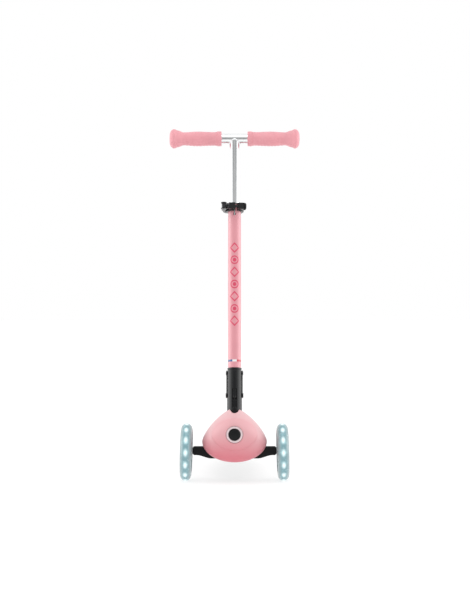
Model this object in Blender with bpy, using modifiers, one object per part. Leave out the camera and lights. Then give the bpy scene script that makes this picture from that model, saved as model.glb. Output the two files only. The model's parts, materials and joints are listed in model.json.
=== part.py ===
"""Three-wheel kick scooter for small children, with lean steering, a folding stem and a
height-adjustable handlebar. Metres, +Z up, front towards -Y. The origin is on the ground,
under the middle of the object's box."""

import math

import bmesh
import bpy
from mathutils import Matrix, Vector

MM = 0.001

# Fits
FIT = 0.3 * MM  # gap between pieces that touch
RUNNING_GAP = 0.5 * MM  # gap between pieces that slide or turn past each other
PAST = 5 * MM  # how far a cutter runs past what it cuts

# Overall sizes
WHEELBASE = 448 * MM
FRONT_WHEEL_RADIUS = 60.5 * MM
REAR_WHEEL_RADIUS = 40 * MM
HALF_TRACK = 102 * MM
HANDLEBAR_HEIGHT = 736 * MM  # centre of the cross tube
HANDLEBAR_WIDTH = 285 * MM
STEM_LEAN = math.radians(9)
WHEEL_CAMBER = math.radians(1.4)
NOSE_REACH = 65 * MM  # from the front axle to the front of the lock button

# Axles and bearings, the same on every wheel
BEARING_BORE = 4 * MM
BEARING_RADIUS = 11 * MM
BEARING_WIDTH = 7 * MM
AXLE_RADIUS = BEARING_BORE - FIT
BOLT_HEAD_RADIUS = 6.5 * MM
BOLT_HEAD_HEIGHT = 4 * MM

# Front wheels, each turned about its own axis with heights measured outwards
FRONT_TYRE_HALF_WIDTH = 12.2 * MM
FRONT_TYRE_DEPTH = 16.2 * MM
FRONT_RIM_HALF_WIDTH = 9.5 * MM
LIGHT_RING_DEPTH = 4.2 * MM
LIGHT_RING_HALF_WIDTH = 4.7 * MM
HUB_WALL = 3.5 * MM
WEB_THICKNESS = 5 * MM
OUTER_BEARING_FACE = 7 * MM
INNER_BEARING_FACE = -12 * MM
BEARING_STEP = 3 * MM  # shoulder between bearing and hub bore

# Rear wheel
REAR_TYRE_HALF_WIDTH = 13 * MM
REAR_TYRE_DEPTH = 12 * MM
REAR_RIM_HALF_WIDTH = 11 * MM
REAR_HUB_HALF_WIDTH = 12.5 * MM

# Steering truck on its inclined kingpin
KINGPIN_TILT = math.radians(45)
KINGPIN_BELOW_AXLE = 2.5 * MM
KINGPIN_RADIUS = 4 * MM
TRUCK_HUB_RADIUS = 11.5 * MM
TRUCK_HUB_HALF_LENGTH = 9 * MM
BEAM_DEPTH = 18 * MM
BEAM_TOP = 12 * MM  # above the axle
BEAM_END_BOTTOM = -6 * MM
BEAM_MIDDLE_BOTTOM = -13 * MM
BEAM_MIDDLE_HALF = 51 * MM
BEAM_END_RISE_FROM = 75 * MM
BEAM_END_SLOPE = 0.6 * MM
BEAM_END_GAP = 1.3 * MM  # between the beam and the wheel
BEAM_CHAMFER = 3 * MM
BUSH_LENGTH = 5.4 * MM
BUSH_RADIUS = 10 * MM
BARREL_RADIUS = 14 * MM
BARREL_LENGTH = 15 * MM
KINGPIN_NUT_HEIGHT = 7 * MM

# Head block, with heights above the front axle
HEAD_HALF_WIDTH = 26 * MM
HEAD_FRONT = -20 * MM
HEAD_REAR = 45 * MM
HEAD_ROOF = 25.5 * MM
HEAD_TOP = 37 * MM
HEAD_LEG_FRONT = 28 * MM
HEAD_LEG_BOTTOM = -14 * MM
CROSS_PLATE_HALF = 42 * MM
CROSS_PLATE_THICKNESS = 6 * MM
CROSS_PLATE_BOTTOM = 31.5 * MM
CROSS_PLATE_TOP = 51.5 * MM
STEM_SOCKET_WALL = 5.7 * MM

# Stem, measured along its own axis from the folding pivot
STEM_BASE_Y = 26 * MM  # where the stem axis crosses the nose's top edge
STEM_BASE_ABOVE_AXLE = 89.5 * MM
PIVOT_RISE = 28.5 * MM
LOWER_TUBE_WALL = 1.5 * MM
LOWER_TUBE_LENGTH = 356.3 * MM
TUBE_SLIT_WIDTH = 3 * MM
TUBE_SLIT_LENGTH = 22 * MM
TUBE_RELIEF_RADIUS = 2.6 * MM
KNUCKLE_TOP = 54.9 * MM
KNUCKLE_COLLAR_HEIGHT = 3.5 * MM
KNUCKLE_COLLAR_STEP = 1.4 * MM  # beyond the tube
KNUCKLE_SPIGOT = 42 * MM
HINGE_PIN_RADIUS = 4 * MM
FOLD_BUTTON_RADIUS = 6 * MM
FOLD_BUTTON_RISE = 37 * MM
FOLD_BUTTON_TRAVEL = 4 * MM

# Folding bracket
BRACKET_WALL = 1.6 * MM
BRACKET_REAR = 13 * MM
BRACKET_TOP = 53.1 * MM
BRACKET_BOTTOM = -41.7 * MM
BRACKET_FOOT = 18.3 * MM
SLOT_HALF_WIDTH = 5 * MM
SLOT_BOTTOM = -28 * MM
SLOT_TOP = 14 * MM
SLOT_RIB_HALF = 1.25 * MM
PLATE_THICKNESS = 1.35 * MM
PLATE_HALF_WIDTH = 6 * MM
RIVET_RISE = 47.4 * MM
RIVET_RADIUS = 3 * MM
RIVET_HEAD = 1 * MM

# Handlebar and height adjustment
BAR_RADIUS = 11.1 * MM
BAR_WALL = 2 * MM
BAR_INSERTION = 108 * MM
BAR_TRAVEL = 100 * MM
GROOVE_DEPTH = 1 * MM
GROOVE_WIDTH = 4 * MM
BUSH_FLANGE = 2.2 * MM
GUIDE_BUSH_LENGTH = 60 * MM
GUIDE_BUSH_WALL = 0.8 * MM
GLIDER_COLLAR = 10 * MM
GLIDER_SPIGOT = 12 * MM
GRIP_LENGTH = 114 * MM
GRIP_END_WALL = 6 * MM
# (distance from the grip's outer end, radius), from the widest part of the flare inwards
GRIP_SHAPE = ((10 * MM, 21.9 * MM), (18 * MM, 18.4 * MM), (31 * MM, 14.3 * MM),
              (62 * MM, 15.8 * MM), (98 * MM, 14.8 * MM), (108 * MM, 16.4 * MM),
              (GRIP_LENGTH, 16.2 * MM))

# Height clamp
CLAMP_WALL = 5.7 * MM
CLAMP_HEIGHT = 18 * MM
CLAMP_TURN = math.radians(10)
CLAMP_GAP = 6 * MM
CLAMP_EAR = 16 * MM
CLAMP_BOLT_OFFSET = 1.3 * MM  # bolt axis beyond the ring
CLAMP_BOLT_RADIUS = 3 * MM
CLAMP_NUT_RADIUS = 8 * MM
CLAMP_NUT_HEIGHT = 5 * MM
CAM_RADIUS = 6.2 * MM
CAM_SEAT = 4.4 * MM  # boss on the ear that the cam presses on
CAM_PIN_RADIUS = 1.8 * MM
LEVER_THICKNESS = 4.5 * MM
LEVER_HALF_HEIGHT = 7.4 * MM
LEVER_END = math.radians(125)

# Nose cover, with heights above the front axle
NOSE_HALF_WIDTH = 68 * MM
NOSE_WIDEST = 25 * MM
NOSE_TOP = 93 * MM
NOSE_BOTTOM = -18.5 * MM
NOSE_UPPER_POWER = 1.40
NOSE_RIM_TOP_Y = 6 * MM
NOSE_RIM_SLOPE = 0.34
NOSE_WALL = 2.5 * MM
NOSE_FACE_Y = -60.5 * MM
NOSE_NOTCH_RADIUS = 13.5 * MM
NOSE_NOTCH_RISE = 8.5 * MM
LOCK_BUTTON_RISE = 42.1 * MM
LOCK_BUTTON_RADIUS = 12.3 * MM
LOCK_BUTTON_TRAVEL = 4 * MM
LOCK_STEM_RADIUS = 4 * MM
BEZEL_WALL = 5.1 * MM
BEZEL_DEPTH = 7 * MM
NOSE_SCREW_X = 34 * MM
NOSE_SCREW_RISE = 41.5 * MM
NOSE_BOSS_RADIUS = 4.5 * MM
NOSE_SCREW_RADIUS = 2 * MM

# Deck
DECK_TOP = 19.5 * MM  # above the front axle
DECK_HEIGHT = 18 * MM
DECK_REAR_GAP = 63 * MM  # from the deck's rear edge to the rear axle
DECK_CORNER = 16 * MM
DECK_WALL = 3 * MM
# (share of the deck's length, half width)
DECK_SHAPE = ((0.0, 50 * MM), (0.3, 62 * MM), (0.75, 58 * MM), (1.0, 47 * MM))
FRAME_DROP = 8 * MM  # how far the frame shows below the deck shell
RIB = 6 * MM
DECK_BOLT_X = 15 * MM
DECK_BOLT_RADIUS = 3 * MM
DECK_BOLT_LENGTH = 47 * MM
DECK_BOLT_RISE = 4 * MM  # above the deck shell's bottom edge
BOLT_BOSS_HALF = 8 * MM

# Rear fork and brake
FORK_INNER = 18.5 * MM
FORK_THICKNESS = 8.5 * MM
FORK_EYE = 12 * MM
FORK_PIVOT_EYE = 7 * MM
BRAKE_PIVOT_ANGLE = math.radians(146.3)  # round the rear axle
BRAKE_PIVOT_OUT = 3 * MM  # beyond the fender's outer face
BRAKE_PIN_RADIUS = 3 * MM
BRAKE_BARREL_RADIUS = 5.5 * MM
FENDER_GAP = 8 * MM
FENDER_WALL = 3 * MM
FENDER_START = math.radians(20)
FENDER_END = math.radians(145)
LINER_THICKNESS = 2.5 * MM
LINER_START = math.radians(85)
LINER_END = math.radians(125)
LINER_HALF_WIDTH = 10 * MM

# Sides of round pieces
FINE = 24  # wheels, whose pieces nest and share their edges
ROUND = 20
SMALL = 10
NOSE_SIDES = 28
NOSE_RINGS = 6

# Places worked out from the sizes
AXLE_Z = FRONT_WHEEL_RADIUS
KINGPIN_Z = AXLE_Z - KINGPIN_BELOW_AXLE
DECK_TOP_Z = AXLE_Z + DECK_TOP
DECK_BOTTOM_Z = DECK_TOP_Z - DECK_HEIGHT
DECK_BOLT_Z = DECK_BOTTOM_Z + DECK_BOLT_RISE
DECK_FRONT_Y = HEAD_REAR + FIT
DECK_REAR_Y = WHEELBASE - DECK_REAR_GAP
FENDER_INNER = REAR_WHEEL_RADIUS + FENDER_GAP
FENDER_OUTER = FENDER_INNER + FENDER_WALL
BRAKE_PIVOT_REACH = FENDER_OUTER + BRAKE_PIVOT_OUT
BRAKE_Y = WHEELBASE + BRAKE_PIVOT_REACH * math.cos(BRAKE_PIVOT_ANGLE)
BRAKE_Z = REAR_WHEEL_RADIUS + BRAKE_PIVOT_REACH * math.sin(BRAKE_PIVOT_ANGLE)
REAR_REACH = WHEELBASE + max(REAR_WHEEL_RADIUS, FENDER_OUTER * math.cos(FENDER_START))
FRONT_AXLE_Y = -(REAR_REACH - NOSE_REACH) / 2
STEM_AXIS = Vector((0, math.sin(STEM_LEAN), math.cos(STEM_LEAN)))
STEM_BASE = Vector((0, STEM_BASE_Y, AXLE_Z + STEM_BASE_ABOVE_AXLE))
PIVOT = STEM_BASE + STEM_AXIS * PIVOT_RISE
BAR_TOP = (HANDLEBAR_HEIGHT - PIVOT.z) / math.cos(STEM_LEAN)
TUBE_BORE = BAR_RADIUS + FIT + GUIDE_BUSH_WALL + FIT
LOWER_TUBE_RADIUS = TUBE_BORE + LOWER_TUBE_WALL
TUBE_BOTTOM = KNUCKLE_TOP + KNUCKLE_COLLAR_HEIGHT + FIT
TUBE_TOP = TUBE_BOTTOM + LOWER_TUBE_LENGTH
BAR_BOTTOM = TUBE_TOP - BAR_INSERTION
KNUCKLE_COLLAR_RADIUS = LOWER_TUBE_RADIUS + KNUCKLE_COLLAR_STEP
BRACKET_BORE = LOWER_TUBE_RADIUS + 0.4 * MM
BRACKET_RADIUS = BRACKET_BORE + BRACKET_WALL
PLATE_INNER = BRACKET_RADIUS + FIT
PLATE_OUTER = PLATE_INNER + PLATE_THICKNESS
SOCKET_RADIUS = LOWER_TUBE_RADIUS + FIT
BAR_BORE = BAR_RADIUS - BAR_WALL
CLAMP_BORE = LOWER_TUBE_RADIUS + FIT
CLAMP_RADIUS = CLAMP_BORE + CLAMP_WALL
CLAMP_RISE = TUBE_TOP + BUSH_FLANGE + FIT - CLAMP_HEIGHT / 2
CLAMP_BOLT_Y = -(CLAMP_RADIUS + CLAMP_BOLT_OFFSET)
CAM_X = -(CLAMP_EAR + CAM_SEAT + 2 * FIT + CAM_RADIUS)
LOCK_BUTTON_Z = AXLE_Z + LOCK_BUTTON_RISE
BARREL_START = TRUCK_HUB_HALF_LENGTH + FIT + BUSH_LENGTH + FIT
BARREL_END = BARREL_START + BARREL_LENGTH
KINGPIN_NUT_START = BARREL_END + FIT + BUSH_LENGTH + FIT
BOSS_END = REAR_HUB_HALF_WIDTH + 0.4 * MM
SIDEWAYS = Matrix(((0, 0, 1, 0), (1, 0, 0, 0), (0, 1, 0, 0), (0, 0, 0, 1)))  # x, y to Y, Z
FACING = Matrix.Rotation(math.pi / 2, 4, "X")  # x, y to X, Z
ACROSS = Matrix.Rotation(math.pi / 2, 4, "Y")  # z to X

for old in list(bpy.data.objects):
    bpy.data.objects.remove(old)
pieces = bpy.data.collections.new("kick_scooter")
cutters = bpy.data.collections.new("cutters")
for collection in (pieces, cutters):
    bpy.context.scene.collection.children.link(collection)
cutters.hide_render = True


# Materials

def paint(name, colour, roughness, metallic=0.0):
    material = bpy.data.materials.new(name)
    material.use_nodes = True
    shader = material.node_tree.nodes["Principled BSDF"]
    shader.inputs["Base Color"].default_value = (*colour, 1)
    shader.inputs["Roughness"].default_value = roughness
    shader.inputs["Metallic"].default_value = metallic
    material.diffuse_color = (*colour, 1)
    return material


PINK_SHELL = paint("pink_gloss_plastic", (0.80, 0.36, 0.38), 0.25)
PINK_PAINT = paint("pink_paint", (0.80, 0.38, 0.40), 0.3)
PINK_GRIP = paint("pink_rubber", (0.78, 0.38, 0.40), 0.6)
BLACK_MOULDED = paint("black_moulded", (0.02, 0.022, 0.025), 0.45)
BLACK_RUBBER = paint("black_rubber", (0.03, 0.03, 0.03), 0.8)
GREY_PLASTIC = paint("grey_plastic", (0.35, 0.36, 0.38), 0.4)
CLEAR_TYRE = paint("clear_tyre", (0.45, 0.60, 0.62), 0.25)
FROSTED_CORE = paint("frosted_core", (0.65, 0.70, 0.72), 0.35)
LIGHTS = paint("light_ring", (0.85, 0.95, 1.0), 0.2)
ALUMINIUM = paint("polished_aluminium", (0.78, 0.80, 0.82), 0.2, 1.0)
STEEL = paint("zinc_steel", (0.6, 0.6, 0.6), 0.35, 1.0)


# Frames: empties on the joints' axes. A place is a matrix in the deck's coordinates.

places = {}


def frame(name, place, parent=None):
    empty = bpy.data.objects.new(name, None)
    empty.empty_display_size = 0.03
    pieces.objects.link(empty)
    empty.parent = parent
    empty.matrix_basis = places[parent.name].inverted() @ place if parent else place
    places[name] = place
    return empty


def put(obj, collection, moves_with, drawn_in, turn=None):
    """Give a finished shape its parent and its place. It was drawn in drawn_in's coordinates."""
    local = places[moves_with.name].inverted() @ places[(drawn_in or moves_with).name]
    collection.objects.link(obj)
    obj.parent = moves_with
    obj.matrix_basis = local @ turn if turn else local
    return obj


def part(obj, material, moves_with, drawn_in=None, turn=None):
    put(obj, pieces, moves_with, drawn_in, turn)
    obj.data.materials.clear()
    obj.data.materials.append(material)
    return obj


def combine(target, shape, operation, turn=None, drawn_in=None):
    """Cut a shape from the target or join it on, both drawn in the same coordinates."""
    cutter = put(shape, cutters, target.parent, drawn_in)
    cutter.matrix_basis = target.matrix_basis if drawn_in is None else cutter.matrix_basis
    if turn:
        cutter.matrix_basis = cutter.matrix_basis @ turn
    cutter.hide_render = True
    cutter.display_type = "WIRE"
    step = target.modifiers.new(shape.name, "BOOLEAN")
    step.operation = operation
    step.object = cutter
    return target


def cut(target, shape, turn=None, drawn_in=None):
    return combine(target, shape, "DIFFERENCE", turn, drawn_in)


def join(target, shape, turn=None, drawn_in=None):
    return combine(target, shape, "UNION", turn, drawn_in)


# Shapes

def from_bmesh(name, shape, smooth=True):
    mesh = bpy.data.meshes.new(name)
    shape.to_mesh(mesh)
    shape.free()
    if smooth:
        mesh.shade_smooth()
        mesh.set_sharp_from_angle(angle=math.radians(35))
    return bpy.data.objects.new(name, mesh)


def block(name, low, high):
    centre = (Vector(low) + Vector(high)) / 2
    size = Vector(high) - Vector(low)
    shape = bmesh.new()
    bmesh.ops.create_cube(
        shape, size=1, matrix=Matrix.Translation(centre) @ Matrix.Diagonal((*size, 1)))
    return from_bmesh(name, shape, smooth=False)


def rod(name, radius, start, end, sides=ROUND):
    start, end = Vector(start), Vector(end)
    turn = (end - start).to_track_quat("Z", "Y").to_matrix().to_4x4()
    spin = Matrix.Rotation(math.pi / 2 / sides, 4, "Z")  # keeps its edges off the main planes
    shape = bmesh.new()
    bmesh.ops.create_cone(
        shape, cap_ends=True, segments=sides, radius1=radius, radius2=radius,
        depth=(end - start).length, matrix=Matrix.Translation((start + end) / 2) @ turn @ spin)
    return from_bmesh(name, shape)


def hex_nut(name, bore, radius, low, high):
    nut = rod(name, radius, (0, 0, low), (0, 0, high), 6)
    return nut, rod(f"{name}_thread", bore, (0, 0, low - PAST), (0, 0, high + PAST), SMALL)


def turned(name, profile, sides=ROUND):
    """A profile of (radius, height) points turned about Z. Ends off the axis are joined up."""
    following = profile[1:] + profile[:1]
    area = sum(r0 * h1 - r1 * h0 for (r0, h0), (r1, h1) in zip(profile, following))
    if area > 0:
        profile = profile[::-1]
    last = len(profile) - 1
    edges = [(i, i + 1) for i in range(last)]
    if profile[0][0] > 0:
        edges.append((last, 0))
    mesh = bpy.data.meshes.new(name)
    mesh.from_pydata([(radius, 0, height) for radius, height in profile], edges, [])
    obj = bpy.data.objects.new(name, mesh)
    screw = obj.modifiers.new("turn", "SCREW")
    screw.steps = screw.render_steps = sides
    screw.use_merge_vertices = True
    screw.merge_threshold = 0.001 * MM
    return obj


def ring(name, inner, outer, low, high, sides=ROUND):
    return turned(name, [(inner, low), (outer, low), (outer, high), (inner, high)], sides)


def curve_mesh(name, curve):
    """The curve as a closed mesh, its caps welded to its sides."""
    drawn = bpy.data.objects.new(name, curve)
    cutters.objects.link(drawn)
    bpy.context.view_layer.update()
    seen = drawn.evaluated_get(bpy.context.evaluated_depsgraph_get())
    mesh = bpy.data.meshes.new_from_object(seen)
    bpy.data.objects.remove(drawn)
    shape = bmesh.new()
    shape.from_mesh(mesh)
    bmesh.ops.remove_doubles(shape, verts=shape.verts, dist=0.001 * MM)
    bmesh.ops.dissolve_limit(
        shape, angle_limit=math.radians(0.2), verts=shape.verts, edges=shape.edges)
    bmesh.ops.recalc_face_normals(shape, faces=shape.faces)
    return from_bmesh(name, shape)


def plate(name, outline, low, high):
    """A flat outline of (x, y) points, filled from z = low to z = high."""
    curve = bpy.data.curves.new(name, "CURVE")
    curve.dimensions = "2D"
    curve.fill_mode = "BOTH"
    curve.extrude = (high - low) / 2
    spline = curve.splines.new("POLY")
    spline.points.add(len(outline) - 1)
    for point, (x, y) in zip(spline.points, outline):
        point.co = (x, y, 0, 1)
    spline.use_cyclic_u = True
    obj = curve_mesh(name, curve)
    obj.data.transform(Matrix.Translation((0, 0, (low + high) / 2)))
    return obj


def coil(name, radius, wire, low, high, turns, points_per_turn=8):
    """A helical spring about Z."""
    curve = bpy.data.curves.new(name, "CURVE")
    curve.dimensions = "3D"
    curve.bevel_depth = wire
    curve.bevel_resolution = 0
    curve.use_fill_caps = True
    spline = curve.splines.new("POLY")
    count = turns * points_per_turn
    spline.points.add(count)
    for i, point in enumerate(spline.points):
        angle = 2 * math.pi * i / points_per_turn
        height = low + wire + (high - low - 2 * wire) * i / count
        point.co = (radius * math.cos(angle), radius * math.sin(angle), height, 1)
    return curve_mesh(name, curve)


def arc(centre, radius, start, end, steps):
    """Points of an arc from start to end, in radians."""
    angles = [start + (end - start) * i / steps for i in range(steps + 1)]
    return [(centre[0] + radius * math.cos(a), centre[1] + radius * math.sin(a)) for a in angles]


def band(inner, outer, start, end, steps, centre=(0, 0)):
    return arc(centre, outer, start, end, steps) + arc(centre, inner, end, start, steps)


def smooth_value(points, at):
    """A smooth curve through (place, value) points, level at each of them."""
    for (place0, value0), (place1, value1) in zip(points, points[1:]):
        if at <= place1:
            share = (at - place0) / (place1 - place0)
            return value0 + (value1 - value0) * (3 - 2 * share) * share ** 2
    return points[-1][1]


def loft(name, rings, closed=True):
    """Rings with the same number of points, skinned in order and, if closed, back to the first."""
    shape = bmesh.new()
    rows = [[shape.verts.new(point) for point in points] for points in rings]
    pairs = list(zip(rows, rows[1:] + rows[:1])) if closed else list(zip(rows, rows[1:]))
    for row, above in pairs:
        for i in range(len(row)):
            j = (i + 1) % len(row)
            shape.faces.new((row[i], row[j], above[j], above[i]))
    if not closed:
        shape.faces.new(rows[0])
        shape.faces.new(rows[-1])
    bmesh.ops.recalc_face_normals(shape, faces=shape.faces)
    return from_bmesh(name, shape)


# Frames of the bodies

deck_origin = Matrix.Translation((0, FRONT_AXLE_Y, 0))
deck = frame("deck", deck_origin)
kingpin_place = deck_origin @ Matrix.Translation((0, 0, KINGPIN_Z)) @ Matrix.Rotation(
    KINGPIN_TILT, 4, "X")
kingpin_frame = frame("kingpin_frame", kingpin_place, deck)
truck = frame("truck", kingpin_place, deck)
stem_place = deck_origin @ Matrix.Translation(PIVOT) @ Matrix.Rotation(-STEM_LEAN, 4, "X")
bracket_frame = frame("bracket_frame", stem_place, deck)
stem = frame("stem", stem_place, deck)
handlebar = frame("handlebar", stem_place @ Matrix.Translation((0, 0, BAR_TOP)), stem)
clamp_place = stem_place @ Matrix.Translation((0, 0, CLAMP_RISE)) @ Matrix.Rotation(
    CLAMP_TURN, 4, "Z")
clamp_frame = frame("clamp_frame", clamp_place, stem)
lever_axis = frame(
    "clamp_lever_axis", clamp_place @ Matrix.Translation((CAM_X, CLAMP_BOLT_Y, 0)), stem)
fold_button_axis = frame(
    "fold_button_axis",
    stem_place @ Matrix.Translation((0, 0, FOLD_BUTTON_RISE)) @ Matrix.Rotation(
        -math.pi / 2, 4, "X"), stem)
lock_place = deck_origin @ Matrix.Translation((0, 0, LOCK_BUTTON_Z)) @ FACING
lock_frame = frame("lock_frame", lock_place, deck)
lock_button_axis = frame("lock_button_axis", lock_place, deck)
rear_axle_place = deck_origin @ Matrix.Translation((0, WHEELBASE, REAR_WHEEL_RADIUS)) @ ACROSS
rear_axle_frame = frame("rear_axle_frame", rear_axle_place, deck)
rear_wheel = frame("rear_wheel", rear_axle_place, deck)
brake_place = deck_origin @ Matrix.Translation((0, BRAKE_Y, BRAKE_Z)) @ ACROSS
brake_frame = frame("brake_frame", brake_place, deck)
brake = frame("brake", brake_place, deck)


# Wheels

def bearing(name, low, moves_with, drawn_in=None):
    shape = ring(name, BEARING_BORE, BEARING_RADIUS, low, low + BEARING_WIDTH, SMALL)
    part(shape, STEEL, moves_with, drawn_in)


def tyre_profile(inner, radius, half_width, inner_half, steps=7):
    """Half an ellipse on a flat inner face."""
    depth = radius - inner
    angles = [math.pi / 2 * (1 - 2 * i / steps) for i in range(steps + 1)]
    outside = [(inner + depth * math.cos(a) ** 0.8, half_width * math.sin(a)) for a in angles
               if abs(abs(a) - math.pi / 2) > 0.01]
    return [(inner, inner_half), (inner + FIT, half_width), *outside, (inner + FIT, -half_width),
            (inner, -inner_half)]


def core_profile(rim, rim_half, web_half, hub, hub_low, hub_high, bores, groove):
    """Rim with an optional groove, web, hub and the stepped bore listed as (radius, height)."""
    rim_inner = rim - LIGHT_RING_DEPTH - HUB_WALL / 2
    lip = [(rim, groove), (rim - LIGHT_RING_DEPTH, groove), (rim - LIGHT_RING_DEPTH, -groove),
           (rim, -groove)] if groove else []
    return [(hub, hub_high), (hub, web_half), (rim_inner, web_half), (rim_inner, rim_half),
            (rim, rim_half), *lip, (rim, -rim_half), (rim_inner, -rim_half),
            (rim_inner, -web_half), (hub, -web_half), (hub, hub_low), *bores]


def front_wheel(side, word):
    outward = math.pi / 2 - WHEEL_CAMBER
    place = deck_origin @ Matrix.Translation((side * HALF_TRACK, 0, AXLE_Z)) @ Matrix.Rotation(
        side * outward, 4, "Y")
    axle = frame(f"front_axle_{word}", place, truck)
    wheel = frame(f"wheel_{word}", place, truck)
    rim = FRONT_WHEEL_RADIUS - FRONT_TYRE_DEPTH - FIT
    profile = tyre_profile(FRONT_WHEEL_RADIUS - FRONT_TYRE_DEPTH, FRONT_WHEEL_RADIUS,
                           FRONT_TYRE_HALF_WIDTH, FRONT_RIM_HALF_WIDTH)
    part(turned(f"front_tyre_{word}", profile, FINE), CLEAR_TYRE, wheel)
    seat = BEARING_RADIUS + FIT
    hub = seat + HUB_WALL
    outer_seat = OUTER_BEARING_FACE - BEARING_WIDTH - FIT
    inner_seat = INNER_BEARING_FACE + BEARING_WIDTH + FIT
    neck = BEARING_RADIUS - BEARING_STEP
    hub_face = OUTER_BEARING_FACE + BEARING_STEP
    bores = [(seat, INNER_BEARING_FACE), (seat, inner_seat), (neck, inner_seat),
             (neck, outer_seat), (seat, outer_seat), (seat, hub_face)]
    core = turned(
        f"wheel_core_{word}",
        core_profile(rim, FRONT_RIM_HALF_WIDTH, WEB_THICKNESS / 2, hub, INNER_BEARING_FACE,
                     hub_face, bores, LIGHT_RING_HALF_WIDTH + FIT), FINE)
    part(core, FROSTED_CORE, wheel)
    lights = ring(f"light_ring_{word}", rim - LIGHT_RING_DEPTH + FIT, rim - FIT,
                  -LIGHT_RING_HALF_WIDTH, LIGHT_RING_HALF_WIDTH, FINE)
    part(lights, LIGHTS, wheel)
    bearing(f"outer_bearing_{word}", OUTER_BEARING_FACE - BEARING_WIDTH, wheel)
    bearing(f"inner_bearing_{word}", INNER_BEARING_FACE, wheel)
    cap_top = FRONT_TYRE_HALF_WIDTH
    skirt = seat - FIT
    cap = [(0, cap_top), (hub - 3 * MM, cap_top), (hub, cap_top - 1.2 * MM),
           (hub, hub_face + FIT), (skirt, hub_face + FIT), (skirt, OUTER_BEARING_FACE + FIT),
           (skirt - 1.2 * MM, OUTER_BEARING_FACE + FIT), (skirt - 1.2 * MM, cap_top - 1.2 * MM),
           (0, cap_top - 1.2 * MM)]
    part(turned(f"hub_cap_{word}", cap, SMALL), GREY_PLASTIC, wheel)
    bolt_start = -(HALF_TRACK - BEAM_MIDDLE_HALF - 6 * MM)
    head_low = OUTER_BEARING_FACE + FIT
    head_high = cap_top - 1.2 * MM - FIT
    bolt = [(0, bolt_start), (AXLE_RADIUS, bolt_start), (AXLE_RADIUS, head_low),
            (BOLT_HEAD_RADIUS, head_low), (BOLT_HEAD_RADIUS, head_high), (0, head_high)]
    part(turned(f"front_axle_bolt_{word}", bolt, SMALL), STEEL, truck, axle)
    return axle


front_axles = [front_wheel(-1, "left"), front_wheel(1, "right")]


def make_rear_wheel():
    inner = REAR_WHEEL_RADIUS - REAR_TYRE_DEPTH
    rim = inner - FIT
    profile = tyre_profile(inner, REAR_WHEEL_RADIUS, REAR_TYRE_HALF_WIDTH, REAR_RIM_HALF_WIDTH)
    part(turned("rear_tyre", profile, FINE), CLEAR_TYRE, rear_wheel)
    seat = BEARING_RADIUS + FIT
    step = REAR_HUB_HALF_WIDTH - BEARING_WIDTH - FIT
    neck = BEARING_RADIUS - BEARING_STEP
    face = REAR_HUB_HALF_WIDTH
    bores = [(seat, -face), (seat, -step), (neck, -step), (neck, step), (seat, step),
             (seat, face)]
    core = core_profile(rim, REAR_RIM_HALF_WIDTH, WEB_THICKNESS / 2, seat + HUB_WALL, -face,
                        face, bores, 0)
    part(turned("rear_wheel_core", core, FINE), FROSTED_CORE, rear_wheel)
    bearing("rear_bearing_left", -face, rear_wheel)
    bearing("rear_bearing_right", face - BEARING_WIDTH, rear_wheel)
    fork_outer = FORK_INNER + FORK_THICKNESS + FIT
    head_end = -fork_outer - BOLT_HEAD_HEIGHT
    thread_end = fork_outer + BOLT_HEAD_HEIGHT + 1 * MM
    bolt = [(0, head_end), (BOLT_HEAD_RADIUS, head_end), (BOLT_HEAD_RADIUS, -fork_outer),
            (AXLE_RADIUS, -fork_outer), (AXLE_RADIUS, thread_end), (0, thread_end)]
    part(turned("rear_axle_bolt", bolt, SMALL), STEEL, deck, rear_axle_frame)
    nut, thread = hex_nut("rear_axle_nut", BEARING_BORE, BOLT_HEAD_RADIUS + 1 * MM, fork_outer,
                          fork_outer + BOLT_HEAD_HEIGHT)
    part(nut, STEEL, deck, rear_axle_frame)
    cut(nut, thread)


make_rear_wheel()


# Steering truck

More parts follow.
